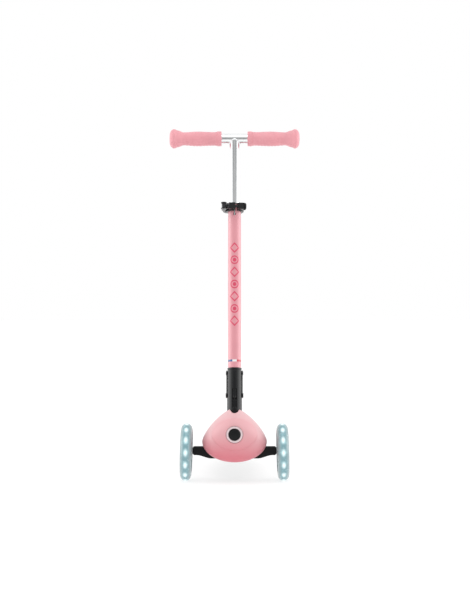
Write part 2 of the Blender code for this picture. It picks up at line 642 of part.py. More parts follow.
def make_truck():
    end = HALF_TRACK - FRONT_TYRE_HALF_WIDTH - BEAM_END_GAP
    half = [(0, BEAM_MIDDLE_BOTTOM), (BEAM_MIDDLE_HALF, BEAM_MIDDLE_BOTTOM),
            (BEAM_END_RISE_FROM, BEAM_END_BOTTOM - BEAM_END_SLOPE),
            (end - BEAM_CHAMFER, BEAM_END_BOTTOM),
            (end, BEAM_END_BOTTOM + BEAM_CHAMFER), (end, BEAM_TOP - BEAM_CHAMFER),
            (end - BEAM_CHAMFER, BEAM_TOP), (0, BEAM_TOP)]
    outline = half[1:-1] + [(-x, z) for x, z in reversed(half[1:-1])]
    beam = plate("axle_beam", outline, -BEAM_DEPTH / 2, BEAM_DEPTH / 2)
    beam.data.transform(Matrix.Translation((0, 0, AXLE_Z)) @ FACING)
    part(beam, BLACK_MOULDED, truck, deck)
    hub = TRUCK_HUB_HALF_LENGTH
    shoulder = hub - 0.5 * MM
    cut(beam, rod("above_hub", BARREL_RADIUS + 1.5 * MM, (0, 0, shoulder), (0, 0, 5 * hub)),
        drawn_in=kingpin_frame)
    cut(beam, rod("below_hub", TRUCK_HUB_RADIUS + 1 * MM, (0, 0, -5 * hub), (0, 0, -shoulder)),
        drawn_in=kingpin_frame)
    join(beam, rod("truck_hub", TRUCK_HUB_RADIUS, (0, 0, -hub), (0, 0, hub)),
         drawn_in=kingpin_frame)
    cut(beam, rod("kingpin_bore", KINGPIN_RADIUS + FIT, (0, 0, -2 * hub), (0, 0, 2 * hub),
                  SMALL), drawn_in=kingpin_frame)
    reach = HALF_TRACK - BEAM_MIDDLE_HALF
    for axle in front_axles:
        axle_bore = rod(f"{axle.name}_bore", BEARING_BORE, (0, 0, -reach), (0, 0, 0), SMALL)
        cut(beam, axle_bore, drawn_in=axle)
    for name, start in (("steering_bush_lower", hub + FIT), ("steering_bush_upper",
                                                             BARREL_END + FIT)):
        bush = ring(name, KINGPIN_RADIUS + FIT, BUSH_RADIUS, start, start + BUSH_LENGTH, SMALL)
        part(bush, BLACK_RUBBER, deck, kingpin_frame)
    nut_end = KINGPIN_NUT_START + KINGPIN_NUT_HEIGHT
    head = -hub - FIT
    bolt = [(0, head - BOLT_HEAD_HEIGHT), (BOLT_HEAD_RADIUS, head - BOLT_HEAD_HEIGHT),
            (BOLT_HEAD_RADIUS, head), (KINGPIN_RADIUS, head), (KINGPIN_RADIUS, nut_end),
            (0, nut_end)]
    part(turned("kingpin_bolt", bolt, SMALL), STEEL, deck, kingpin_frame)
    nut, thread = hex_nut("kingpin_nut", KINGPIN_RADIUS + FIT, BOLT_HEAD_RADIUS,
                          KINGPIN_NUT_START, nut_end - 0.5 * MM)
    part(nut, STEEL, deck, kingpin_frame)
    cut(nut, thread)


make_truck()


# Head block: joins the deck, the kingpin and the stem's bracket

def make_head():
    half, front, rear = HEAD_HALF_WIDTH, HEAD_FRONT, HEAD_REAR
    head = block("head_block", (-half, front, AXLE_Z + HEAD_ROOF), (half, rear, AXLE_Z + HEAD_TOP))
    part(head, BLACK_MOULDED, deck)
    join(head, block("head_legs", (-half, HEAD_LEG_FRONT, AXLE_Z + HEAD_LEG_BOTTOM),
                     (half, rear, AXLE_Z + HEAD_ROOF + 2 * MM)))
    plate_back = front + CROSS_PLATE_THICKNESS
    join(head, block("cross_plate",
                     (-CROSS_PLATE_HALF, front - FIT, AXLE_Z + CROSS_PLATE_BOTTOM),
                     (CROSS_PLATE_HALF, plate_back, AXLE_Z + CROSS_PLATE_TOP)))
    gusset_bottom = KINGPIN_Z + (BARREL_START + FIT) / math.sin(KINGPIN_TILT)
    join(head, block("barrel_gusset", (-BARREL_RADIUS + 2 * MM, front + 6 * MM, gusset_bottom),
                     (BARREL_RADIUS - 2 * MM, 0, AXLE_Z + HEAD_ROOF + 4 * MM)))
    join(head, rod("kingpin_barrel", BARREL_RADIUS, (0, 0, BARREL_START), (0, 0, BARREL_END)),
         drawn_in=kingpin_frame)
    socket_top = BRACKET_BOTTOM - FIT
    socket_start = -(PIVOT.z - AXLE_Z - HEAD_ROOF - 4 * MM)
    join(head, rod("stem_socket", SOCKET_RADIUS + STEM_SOCKET_WALL, (0, 0, socket_start),
                   (0, 0, socket_top)), drawn_in=bracket_frame)
    foot_end = BRACKET_BOTTOM - BRACKET_FOOT - FIT
    cut(head, rod("foot_bore", SOCKET_RADIUS, (0, 0, foot_end), (0, 0, socket_top + 10 * MM)),
        drawn_in=bracket_frame)
    cut(head, rod("nut_space", BUSH_RADIUS + 1 * MM, (0, 0, BARREL_END),
                  (0, 0, KINGPIN_NUT_START + 4 * KINGPIN_NUT_HEIGHT)), drawn_in=kingpin_frame)
    cut(head, rod("kingpin_hole", KINGPIN_RADIUS + FIT, (0, 0, 0), (0, 0, BARREL_END + PAST),
                  SMALL), drawn_in=kingpin_frame)
    cut(head, rod("lock_stem_hole", LOCK_STEM_RADIUS + FIT, (0, front - PAST, LOCK_BUTTON_Z),
                  (0, plate_back + PAST, LOCK_BUTTON_Z), SMALL))
    for side in (-1, 1):
        x, z = side * NOSE_SCREW_X, AXLE_Z + NOSE_SCREW_RISE
        cut(head, rod("nose_screw_hole", NOSE_SCREW_RADIUS + FIT, (x, front - PAST, z),
                      (x, plate_back + PAST, z), SMALL))
        x, z = side * DECK_BOLT_X, DECK_BOLT_Z
        cut(head, rod("deck_bolt_hole", DECK_BOLT_RADIUS + FIT, (x, HEAD_LEG_FRONT - PAST, z),
                      (x, rear + PAST, z), SMALL))
    x = SOCKET_RADIUS + STEM_SOCKET_WALL + 5 * MM
    z = BRACKET_BOTTOM - BRACKET_FOOT / 2
    cut(head, rod("cross_bolt_hole", HINGE_PIN_RADIUS, (-x, 0, z), (x, 0, z), SMALL),
        drawn_in=bracket_frame)


make_head()


def bolt_profile(radius, head_radius, head_height, length):
    """A headed bolt from z = 0, with its head above and its shank down to -length."""
    return [(0, head_height), (head_radius, head_height), (head_radius, 0), (radius, 0),
            (radius, -length), (0, -length)]


def make_head_fasteners():
    for side, word in ((-1, "left"), (1, "right")):
        profile = bolt_profile(DECK_BOLT_RADIUS, 5 * MM, 4 * MM, DECK_BOLT_LENGTH)
        bolt = part(turned(f"deck_bolt_{word}", profile, SMALL), STEEL, deck)
        bolt.matrix_basis = Matrix.Translation(
            (side * DECK_BOLT_X, HEAD_LEG_FRONT - FIT, DECK_BOLT_Z)) @ FACING
        profile = bolt_profile(NOSE_SCREW_RADIUS, NOSE_BOSS_RADIUS, 2.5 * MM, 16 * MM)
        screw = part(turned(f"nose_screw_{word}", profile, SMALL), STEEL, deck)
        screw.matrix_basis = Matrix.Translation(
            (side * NOSE_SCREW_X, HEAD_FRONT + CROSS_PLATE_THICKNESS + FIT,
             AXLE_Z + NOSE_SCREW_RISE)) @ FACING.inverted()


make_head_fasteners()


# Nose cover

def rim_point(angle, wall):
    """A point of the rim, with angle 0 at +X and a quarter turn at the top."""
    half = NOSE_HALF_WIDTH - wall
    across, up = math.cos(angle), math.sin(angle)
    if up >= 0:
        power = 2 / NOSE_UPPER_POWER
        x = half * math.copysign(abs(across) ** power, across)
        height = NOSE_WIDEST + (NOSE_TOP - wall - NOSE_WIDEST) * up ** power
    else:
        x = half * across
        height = NOSE_WIDEST + (NOSE_WIDEST - NOSE_BOTTOM - wall) * up
    top = NOSE_RIM_TOP_Y - NOSE_RIM_SLOPE * (STEM_BASE_ABOVE_AXLE - height)
    return Vector((x, top, AXLE_Z + height))


def nose_ring(share, wall, sides=NOSE_SIDES):
    """One ring of the nose's skin: share 0 is the hole for the bezel, 1 is the rim."""
    hole = LOCK_BUTTON_RADIUS + RUNNING_GAP + BEZEL_WALL + FIT
    turn = share * math.pi / 2
    points = []
    for i in range(sides):
        angle = 2 * math.pi * i / sides
        rim = rim_point(angle, wall)
        start = Vector((hole * math.cos(angle), NOSE_FACE_Y + wall,
                        LOCK_BUTTON_Z + hole * math.sin(angle)))
        spread = math.sin(turn) ** 1.1
        back = (1 - math.cos(turn) ** 0.9) if share < 1 else 1
        points.append((start.x + (rim.x - start.x) * spread,
                       start.y + (rim.y - start.y) * back,
                       start.z + (rim.z - start.z) * spread))
    return points


def make_nose():
    shares = [i / NOSE_RINGS for i in range(NOSE_RINGS + 1)]
    outside = [nose_ring(share, 0) for share in shares]
    inside = [nose_ring(share, NOSE_WALL) for share in reversed(shares)]
    cover = part(loft("nose_cover", outside + inside), PINK_SHELL, deck)
    notch_z = STEM_BASE.z + NOSE_NOTCH_RISE
    cut(cover, rod("nose_notch", NOSE_NOTCH_RADIUS, (0, NOSE_FACE_Y, notch_z),
                   (0, NOSE_RIM_TOP_Y + 20 * MM, notch_z)))
    for side in (-1, 1):
        x, z = side * NOSE_SCREW_X, AXLE_Z + NOSE_SCREW_RISE
        boss = rod("nose_boss", NOSE_BOSS_RADIUS, (x, HEAD_FRONT - 2 * FIT, z),
                   (x, NOSE_FACE_Y, z), SMALL)
        core = loft("nose_boss_limit", [nose_ring(share, NOSE_WALL / 2) for share in shares],
                    closed=False)
        join(cover, boss)
        trim = boss.modifiers.new("limit", "BOOLEAN")
        trim.operation = "INTERSECT"
        trim.object = put(core, cutters, deck, None)
        core.hide_render = True
        core.display_type = "WIRE"
        cut(cover, rod("nose_boss_bore", NOSE_SCREW_RADIUS + FIT, (x, HEAD_FRONT - 13 * MM, z),
                       (x, HEAD_FRONT + PAST, z), SMALL))
    inner = LOCK_BUTTON_RADIUS + RUNNING_GAP
    outer = inner + BEZEL_WALL
    front = -NOSE_FACE_Y + 1.5 * MM
    bezel = [(inner, front - BEZEL_DEPTH), (outer, front - BEZEL_DEPTH), (outer, front - 2 * MM),
             (outer - 1.5 * MM, front - 0.5 * MM), (inner + 1 * MM, front),
             (inner, front - 0.5 * MM)]
    part(turned("nose_bezel", bezel, ROUND), GREY_PLASTIC, deck, lock_frame)
    radius, face = LOCK_BUTTON_RADIUS, NOSE_REACH
    back = face - 11 * MM
    stem_end = -(HEAD_FRONT + CROSS_PLATE_THICKNESS) - 2 * MM
    dome = [(radius * math.cos(a), face - 3 * MM + 3 * MM * math.sin(a))
            for a in [math.pi / 2 * i / 4 for i in range(5)]]
    dome[-1] = (0, face)
    button = [*reversed(dome), (radius, back), (LOCK_STEM_RADIUS, back),
              (LOCK_STEM_RADIUS, stem_end), (0, stem_end)]
    part(turned("steering_lock_button", button), BLACK_MOULDED, lock_button_axis)
    spring_end = back - LOCK_BUTTON_TRAVEL - FIT
    spring = coil("lock_button_spring", 6 * MM, 0.6 * MM, -HEAD_FRONT + 2 * FIT, spring_end, 5)
    part(spring, STEEL, deck, lock_frame)


make_nose()


# Folding bracket, side plates and pins

def channel(radius, rear, steps=12):
    """Half round at the front, straight sides to the rear."""
    return arc((0, 0), radius, math.pi, 2 * math.pi, steps) + [(radius, rear), (-radius, rear)]


def make_bracket():
    floor = -(LOWER_TUBE_RADIUS + 1.5 * MM)
    bracket = part(plate("folding_bracket", channel(BRACKET_RADIUS, BRACKET_REAR),
                         BRACKET_BOTTOM, BRACKET_TOP), BLACK_MOULDED, deck, bracket_frame)
    foot = BRACKET_BOTTOM - BRACKET_FOOT
    join(bracket, rod("bracket_foot", LOWER_TUBE_RADIUS, (0, 0, foot),
                      (0, 0, BRACKET_BOTTOM + 5 * MM)))
    cut(bracket, plate("knuckle_space", channel(BRACKET_BORE, 2 * BRACKET_RADIUS), floor,
                       BRACKET_TOP + PAST))
    front = BRACKET_RADIUS + 1 * MM
    slot = block("front_slot", (-SLOT_HALF_WIDTH, -front, SLOT_BOTTOM),
                 (SLOT_HALF_WIDTH, -BRACKET_BORE + 1 * MM, SLOT_TOP))
    cut(bracket, slot)
    rib_front = BRACKET_RADIUS - 0.2 * MM
    join(bracket, block("slot_rib", (-SLOT_RIB_HALF, -rib_front, SLOT_BOTTOM - 1 * MM),
                        (SLOT_RIB_HALF, -BRACKET_BORE - 0.1 * MM, SLOT_TOP + 1 * MM)))
    reach = 2 * BRACKET_RADIUS
    cut(bracket, rod("pin_hole", HINGE_PIN_RADIUS + FIT, (-reach, 0, 0), (reach, 0, 0), SMALL))
    cut(bracket, rod("rivet_hole", RIVET_RADIUS + FIT, (-reach, 0, RIVET_RISE),
                     (reach, 0, RIVET_RISE), SMALL))
    z = BRACKET_BOTTOM - BRACKET_FOOT / 2
    cut(bracket, rod("foot_hole", HINGE_PIN_RADIUS, (-reach, 0, z), (reach, 0, z), SMALL))
    bolt_x = SOCKET_RADIUS + STEM_SOCKET_WALL + FIT
    bolt = [(0, -bolt_x - 3 * MM), (6 * MM, -bolt_x - 3 * MM), (6 * MM, -bolt_x),
            (HINGE_PIN_RADIUS - FIT, -bolt_x), (HINGE_PIN_RADIUS - FIT, bolt_x),
            (6 * MM, bolt_x), (6 * MM, bolt_x + 3 * MM), (0, bolt_x + 3 * MM)]
    cross_bolt = part(turned("bracket_cross_bolt", bolt, SMALL), STEEL, deck, bracket_frame)
    cross_bolt.matrix_basis = cross_bolt.matrix_basis @ Matrix.Translation((0, 0, z)) @ ACROSS
    for side, word in ((-1, "left"), (1, "right")):
        outline = arc((0, RIVET_RISE), PLATE_HALF_WIDTH, 0, math.pi, 8)
        outline += arc((0, 0), PLATE_HALF_WIDTH, math.pi, 2 * math.pi, 8)
        low, high = sorted((side * PLATE_INNER, side * PLATE_OUTER))
        cheek = plate(f"hinge_plate_{word}", outline, low, high)
        cheek.data.transform(SIDEWAYS)
        part(cheek, BLACK_MOULDED, deck, bracket_frame)
        cut(cheek, rod("plate_pin_hole", HINGE_PIN_RADIUS + FIT, (-reach, 0, 0), (reach, 0, 0),
                       SMALL))
        inner, outer = BRACKET_BORE + FIT, PLATE_OUTER
        stud = [(0, inner), (RIVET_RADIUS, inner), (RIVET_RADIUS, outer - 0.5 * MM),
                (5 * MM, outer - 0.5 * MM), (4.8 * MM, outer + 0.6 * RIVET_HEAD),
                (3.2 * MM, outer + RIVET_HEAD), (0, outer + RIVET_HEAD)]
        join(cheek, turned(f"rivet_stud_{word}", stud, SMALL),
             turn=Matrix.Translation((0, 0, RIVET_RISE)) @ Matrix.Rotation(
                 side * math.pi / 2, 4, "Y"))
    under = PLATE_OUTER + FIT
    half = [(HINGE_PIN_RADIUS, under), (5.8 * MM, under),
            (5.2 * MM, under + 0.7 * RIVET_HEAD), (3.4 * MM, under + RIVET_HEAD),
            (0, under + RIVET_HEAD)]
    pin = [(r, -h) for r, h in reversed(half)] + half
    pin_piece = part(turned("fold_hinge_pin", pin, SMALL), BLACK_MOULDED, deck, bracket_frame)
    pin_piece.matrix_basis = pin_piece.matrix_basis @ ACROSS


make_bracket()


# Stem

def make_stem():
    radius = LOWER_TUBE_RADIUS
    spigot = TUBE_BORE - FIT
    collar_top = KNUCKLE_TOP + KNUCKLE_COLLAR_HEIGHT
    rounded = [(radius * math.sin(a), -radius * math.cos(a))
               for a in [math.pi / 2 * i / 6 for i in range(7)]]
    rounded[0] = (0, -radius)
    spigot_top = collar_top + KNUCKLE_SPIGOT
    profile = rounded + [(radius, KNUCKLE_TOP), (KNUCKLE_COLLAR_RADIUS, KNUCKLE_TOP),
                         (KNUCKLE_COLLAR_RADIUS, collar_top), (spigot, collar_top),
                         (spigot, spigot_top - 2 * MM), (spigot - 1 * MM, spigot_top),
                         (0, spigot_top)]
    knuckle = part(turned("fold_knuckle", profile), BLACK_MOULDED, stem)
    cut(knuckle, rod("knuckle_bore", HINGE_PIN_RADIUS + FIT, (-2 * radius, 0, 0),
                     (2 * radius, 0, 0), SMALL))
    rise = FOLD_BUTTON_RISE
    pocket = -4 * MM
    cut(knuckle, rod("button_bore", FOLD_BUTTON_RADIUS + FIT, (0, pocket, rise),
                     (0, 2 * radius, rise)))
    plunger_radius = 3 * MM
    cut(knuckle, rod("plunger_bore", plunger_radius + FIT, (0, -2 * radius, rise),
                     (0, pocket + 2 * MM, rise), SMALL))
    face = radius + FOLD_BUTTON_TRAVEL + 0.5 * MM
    back = pocket + 6 * MM + FOLD_BUTTON_TRAVEL
    tip = -radius + FOLD_BUTTON_TRAVEL + FIT
    button = [(0, tip), (plunger_radius, tip), (plunger_radius, back),
              (FOLD_BUTTON_RADIUS, back), (FOLD_BUTTON_RADIUS, face - 1 * MM),
              (FOLD_BUTTON_RADIUS - 1 * MM, face), (0, face)]
    part(turned("fold_release_button", button, SMALL), GREY_PLASTIC, fold_button_axis)
    spring = coil("fold_button_spring", 4.6 * MM, 0.5 * MM, pocket + FIT,
                  back - FOLD_BUTTON_TRAVEL - FIT, 3)
    part(spring, STEEL, stem, fold_button_axis)

    tube = part(ring("lower_tube", TUBE_BORE, radius, TUBE_BOTTOM, TUBE_TOP), PINK_PAINT, stem)
    slit_end = TUBE_TOP - TUBE_SLIT_LENGTH
    cut(tube, block("tube_slit", (-TUBE_SLIT_WIDTH / 2, -2 * radius, slit_end),
                    (TUBE_SLIT_WIDTH / 2, -radius / 2, TUBE_TOP + PAST)))
    cut(tube, rod("tube_relief", TUBE_RELIEF_RADIUS, (0, -2 * radius, slit_end),
                  (0, -radius / 2, slit_end), SMALL))

    inner = BAR_RADIUS + FIT
    outer = inner + GUIDE_BUSH_WALL
    bottom, seat = TUBE_TOP - GUIDE_BUSH_LENGTH, TUBE_TOP + FIT
    profile = [(inner, bottom), (outer, bottom), (outer, seat), (radius, seat),
               (radius, seat + BUSH_FLANGE - FIT), (inner, seat + BUSH_FLANGE - FIT)]
    bush = part(turned("guide_bush", profile), BLACK_MOULDED, stem)
    key_inner = BAR_RADIUS - GROOVE_DEPTH + FIT
    key_half = GROOVE_WIDTH / 2 - FIT
    join(bush, block("bush_key", (-key_half, key_inner, bottom), (key_half, inner + 0.4 * MM,
                                                                  seat)))
    cut(bush, block("bush_slit", (-1 * MM, -2 * radius, bottom - PAST),
                    (1 * MM, -radius / 2, seat + PAST)))


make_stem()


# Handlebar: cross tube and upper stem welded into one

def make_handlebar():
    half = HANDLEBAR_WIDTH / 2 - GRIP_END_WALL - FIT
    drop = BAR_BOTTOM - BAR_TOP
    bar = part(rod("handlebar_tube", BAR_RADIUS, (-half, 0, 0), (half, 0, 0)), ALUMINIUM,
               handlebar)
    join(bar, rod("upper_stem", BAR_RADIUS, (0, 0, drop), (0, 0, 0)))
    reach = half + PAST
    cut(bar, rod("cross_bore", BAR_BORE, (-reach, 0, 0), (reach, 0, 0)))
    cut(bar, rod("stem_bore", BAR_BORE, (0, 0, drop - PAST), (0, 0, -BAR_BORE - BAR_WALL)))
    groove_top = drop + BAR_INSERTION + BAR_TRAVEL + 15 * MM
    cut(bar, block("key_groove", (-GROOVE_WIDTH / 2, BAR_RADIUS - GROOVE_DEPTH, drop - PAST),
                   (GROOVE_WIDTH / 2, BAR_RADIUS + PAST, groove_top)))
    collar, spigot = TUBE_BORE - FIT, BAR_BORE - FIT
    low = drop - FIT - GLIDER_COLLAR
    glider = [(0, low), (collar - 0.5 * MM, low), (collar, low + 0.5 * MM),
              (collar, drop - FIT), (spigot, drop - FIT), (spigot, drop + GLIDER_SPIGOT),
              (0, drop + GLIDER_SPIGOT)]
    part(turned("stem_glider", glider), BLACK_MOULDED, handlebar)
    for side, word in ((-1, "left"), (1, "right")):
        end = HANDLEBAR_WIDTH / 2
        first, flare = GRIP_SHAPE[0]
        outside = []
        for i in range(1, 5):
            a = math.pi / 2 * i / 4
            outside.append((flare * math.sin(a), end - first * (1 - math.cos(a))))
        for i in range(1, 11):
            place = first + (GRIP_LENGTH - first) * i / 10
            outside.append((smooth_value(GRIP_SHAPE, place), end - place))
        bore = BAR_RADIUS + FIT
        inner_end = end - GRIP_LENGTH
        floor = end - GRIP_END_WALL
        profile = [(0, end), *outside, (bore, inner_end), (bore, floor), (0, floor)]
        grip = part(turned(f"grip_{word}", profile), PINK_GRIP, handlebar)
        grip.matrix_basis = grip.matrix_basis @ Matrix.Rotation(side * math.pi / 2, 4, "Y")


make_handlebar()


# Height clamp, with its cam lever

def make_clamp():
    half = CLAMP_HEIGHT / 2
    y = CLAMP_BOLT_Y
    profile = [(CLAMP_BORE, -half), (CLAMP_RADIUS - 0.8 * MM, -half),
               (CLAMP_RADIUS, -half + 0.8 * MM), (CLAMP_RADIUS, half - 0.8 * MM),
               (CLAMP_RADIUS - 0.8 * MM, half), (CLAMP_BORE, half)]
    collar = part(turned("clamp_collar", profile), BLACK_MOULDED, stem, clamp_frame)
    join(collar, block("clamp_ears", (-CLAMP_EAR, y - CAM_RADIUS, -half + 2 * MM),
                       (CLAMP_EAR, y + CAM_RADIUS, half - 2 * MM)))
    join(collar, rod("cam_seat", CAM_RADIUS, (-CLAMP_EAR - CAM_SEAT, y, 0), (-CLAMP_GAP, y, 0),
                     SMALL))
    cut(collar, block("clamp_gap", (-CLAMP_GAP / 2, 2 * y, -half - PAST),
                      (CLAMP_GAP / 2, -CLAMP_BORE / 2, half + PAST)))
    cut(collar, rod("clamp_bolt_hole", CLAMP_BOLT_RADIUS + FIT, (-2 * CLAMP_EAR, y, 0),
                    (2 * CLAMP_EAR, y, 0), SMALL))
    nut_start = CLAMP_EAR + FIT
    nut_end = nut_start + CLAMP_NUT_HEIGHT
    eye = 4.6 * MM
    bolt = rod("clamp_bolt", CLAMP_BOLT_RADIUS, (CAM_X, y, 0), (nut_end - 0.4 * MM, y, 0), SMALL)
    part(bolt, STEEL, stem, clamp_frame)
    join(bolt, rod("bolt_eye", eye, (CAM_X, y, -eye), (CAM_X, y, eye), SMALL))
    cut(bolt, rod("eye_hole", CAM_PIN_RADIUS + FIT, (CAM_X, y, -2 * eye), (CAM_X, y, 2 * eye),
                  SMALL))
    nut = [(CLAMP_BOLT_RADIUS + FIT, nut_start), (CLAMP_NUT_RADIUS, nut_start),
           (CLAMP_NUT_RADIUS, nut_end - 2 * MM), (CLAMP_NUT_RADIUS - 1.5 * MM, nut_end),
           (CLAMP_BOLT_RADIUS + FIT, nut_end)]
    nut_piece = part(turned("clamp_nut", nut, SMALL), BLACK_MOULDED, stem, clamp_frame)
    nut_piece.matrix_basis = nut_piece.matrix_basis @ Matrix.Translation((0, y, 0)) @ ACROSS
    pin_end = LEVER_HALF_HEIGHT - FIT
    part(rod("cam_pin", CAM_PIN_RADIUS, (CAM_X, y, -pin_end), (CAM_X, y, pin_end), SMALL),
         STEEL, stem, clamp_frame)

    height = LEVER_HALF_HEIGHT
    lever = part(rod("clamp_lever", CAM_RADIUS, (0, 0, -height), (0, 0, height), SMALL),
                 BLACK_MOULDED, lever_axis)
    inner = CLAMP_RADIUS + 0.9 * MM
    outer = inner + LEVER_THICKNESS
    link_start = eye + RUNNING_GAP
    cam_clear = eye + 2 * RUNNING_GAP
    link_inner = -CAM_X - CLAMP_RADIUS - 1.5 * MM
    join(lever, block("lever_link", (-1.8 * MM, link_start, -height),
                      (link_inner, -y - 4 * MM, height)))
    handle = plate("lever_handle", band(inner, outer, LEVER_END, math.radians(199), 10),
                   -height, height)
    handle.data.transform(Matrix.Translation((-CAM_X, -y, 0)))
    join(lever, handle)
    cut(lever, block("bolt_space", (-3 * eye, -3 * eye, -eye - RUNNING_GAP),
                     (3 * eye, cam_clear, eye + RUNNING_GAP)))
    cut(lever, rod("cam_pin_hole", CAM_PIN_RADIUS + FIT, (0, 0, -2 * height), (0, 0, 2 * height),
                   SMALL))


make_clamp()


# Deck shell, frame and rear fork

def deck_outline(inset):
    """The deck's outline, moved inwards, with round corners."""
    length = DECK_REAR_Y - DECK_FRONT_Y
    shape = [(DECK_FRONT_Y + share * length, half) for share, half in DECK_SHAPE]
    front, rear = DECK_FRONT_Y + inset, DECK_REAR_Y - inset
    corner = DECK_CORNER - inset

    def half_width(y):
        return smooth_value(shape, y) - inset

    stations = [front + corner + (rear - front - 2 * corner) * i / 8 for i in range(1, 8)]
    front_corner = arc((half_width(front + corner) - corner, front + corner), corner,
                       -math.pi / 2, 0, 4)
    rear_corner = arc((half_width(rear - corner) - corner, rear - corner), corner, 0,
                      math.pi / 2, 4)
    right = front_corner + [(half_width(y), y) for y in stations] + rear_corner
    return right + [(-x, y) for x, y in reversed(right)]


def make_deck():
    shell = plate("deck_shell", deck_outline(0), DECK_BOTTOM_Z, DECK_TOP_Z)
    part(shell, PINK_SHELL, deck)
    edge = shell.modifiers.new("round edge", "BEVEL")
    edge.width = 2 * MM
    edge.segments = 2
    edge.limit_method = "ANGLE"
    edge.angle_limit = math.radians(60)
    ceiling = DECK_TOP_Z - DECK_WALL - 0.5 * MM
    cut(shell, plate("shell_hollow", deck_outline(DECK_WALL), DECK_BOTTOM_Z - PAST, ceiling))
    fork_outer = FORK_INNER + FORK_THICKNESS
    low = DECK_BOTTOM_Z - FRAME_DROP
    arm_top = ceiling - 2 * MM
    for side in (-1, 1):
        x0, x1 = sorted((side * (FORK_INNER - 2 * FIT), side * (fork_outer + 2 * FIT)))
        cut(shell, block("fork_notch", (x0, DECK_REAR_Y - 3 * DECK_WALL, low),
                         (x1, DECK_REAR_Y + PAST, arm_top + FIT)))
    notch = BOLT_BOSS_HALF + 1 * MM
    cut(shell, block("bolt_notch", (-DECK_BOLT_X - notch, DECK_FRONT_Y - PAST, low),
                     (DECK_BOLT_X + notch, DECK_FRONT_Y + 2 * DECK_WALL, DECK_BOLT_Z + notch)))

    base = plate("deck_frame", deck_outline(DECK_WALL + FIT), low, ceiling - FIT)
    part(base, BLACK_MOULDED, deck)
    boss = block("bolt_boss", (-DECK_BOLT_X - BOLT_BOSS_HALF, DECK_FRONT_Y, low + 1 * MM),
                 (DECK_BOLT_X + BOLT_BOSS_HALF, DECK_FRONT_Y + 40 * MM, DECK_BOLT_Z + BOLT_BOSS_HALF))
    join(base, boss)
    first = DECK_FRONT_Y + 60 * MM
    last = DECK_REAR_Y - 62 * MM
    bays = 3
    pitch = (last - first) / bays
    for bay in range(bays):
        for side in (-1, 1):
            x0, x1 = sorted((side * RIB / 2, side * (DECK_SHAPE[-1][1] - DECK_WALL)))
            y0 = first + bay * pitch
            cut(base, block("rib_bay", (x0, y0, low - PAST),
                            (x1, y0 + pitch - RIB, ceiling - 5 * MM)))
    for side in (-1, 1):
        x, z = side * DECK_BOLT_X, DECK_BOLT_Z
        cut(base, rod("deck_bolt_thread", DECK_BOLT_RADIUS + FIT, (x, DECK_FRONT_Y - PAST, z),
                      (x, HEAD_LEG_FRONT + DECK_BOLT_LENGTH + 1 * MM, z), SMALL))
    axle = (WHEELBASE, REAR_WHEEL_RADIUS)
    pivot = (BRAKE_Y, BRAKE_Z)
    arm_start = DECK_REAR_Y - 20 * MM
    outline = [(arm_start, low)]
    outline += arc(axle, FORK_EYE, math.radians(-110), math.radians(50), 8)
    outline += arc(pivot, FORK_PIVOT_EYE, math.radians(50), math.radians(100), 3)
    outline += [(DECK_REAR_Y + FIT, arm_top), (arm_start, arm_top)]
    for side in (-1, 1):
        x0, x1 = sorted((side * FORK_INNER, side * fork_outer))
        arm = plate("fork_arm", outline, x0, x1)
        arm.data.transform(SIDEWAYS)
        join(base, arm)
        join(base, rod("axle_boss", BEARING_BORE + 2.5 * MM,
                       (side * BOSS_END, *axle), (side * (FORK_INNER + 2 * MM), *axle), SMALL))
    reach = fork_outer + PAST
    cut(base, rod("rear_axle_hole", BEARING_BORE, (-reach, *axle), (reach, *axle), SMALL))
    cut(base, rod("brake_pin_hole", BRAKE_PIN_RADIUS + FIT, (-reach, *pivot), (reach, *pivot),
                  SMALL))


make_deck()


# Brake: a sprung fender that the foot presses on the rear tyre

def make_brake():
    axle = (WHEELBASE, REAR_WHEEL_RADIUS)
    half = FORK_INNER - RUNNING_GAP
    fender = plate("brake_fender", band(FENDER_INNER, FENDER_OUTER, FENDER_START, FENDER_END, 14,
                                        axle), -half, half)
    fender.data.transform(SIDEWAYS)
    part(fender, BLACK_MOULDED, brake, deck)
    pivot = (BRAKE_Y, BRAKE_Z)
    spring_space = 9 * MM
    barrel_end = half - spring_space
    join(fender, rod("fender_barrel", BRAKE_BARREL_RADIUS, (-half, *pivot), (barrel_end, *pivot),
                     SMALL))
    hole = rod("fender_pin_hole", BRAKE_PIN_RADIUS + FIT, (-2 * half, *pivot), (2 * half, *pivot),
               SMALL)
    cut(fender, hole)
    cut(fender, block("spring_cutout", (barrel_end, BRAKE_Y - 3 * FENDER_WALL,
                                        BRAKE_Z - 3 * FENDER_WALL),
                      (2 * half, BRAKE_Y + 4 * FENDER_WALL, BRAKE_Z + 3 * FENDER_WALL)))
    liner_outer = FENDER_INNER - FIT
    liner = plate("brake_liner", band(liner_outer - LINER_THICKNESS, liner_outer, LINER_START,
                                      LINER_END, 6, axle), -LINER_HALF_WIDTH, LINER_HALF_WIDTH)
    liner.data.transform(SIDEWAYS)
    part(liner, BLACK_RUBBER, brake, deck)
    outer = FORK_INNER + FORK_THICKNESS + FIT
    pin = [(0, -outer - 2 * MM), (5 * MM, -outer - 2 * MM), (5 * MM, -outer),
           (BRAKE_PIN_RADIUS, -outer), (BRAKE_PIN_RADIUS, outer), (0, outer)]
    part(turned("brake_pin", pin, SMALL), STEEL, deck, brake_frame)
    spring = coil("brake_spring", BRAKE_PIN_RADIUS + 1.4 * MM, 0.6 * MM, barrel_end + 2 * FIT,
                  half - FIT, 4)
    part(spring, STEEL, deck, brake_frame)


make_brake()
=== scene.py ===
import json
import math

import bmesh
import bpy
from mathutils import Matrix, Vector


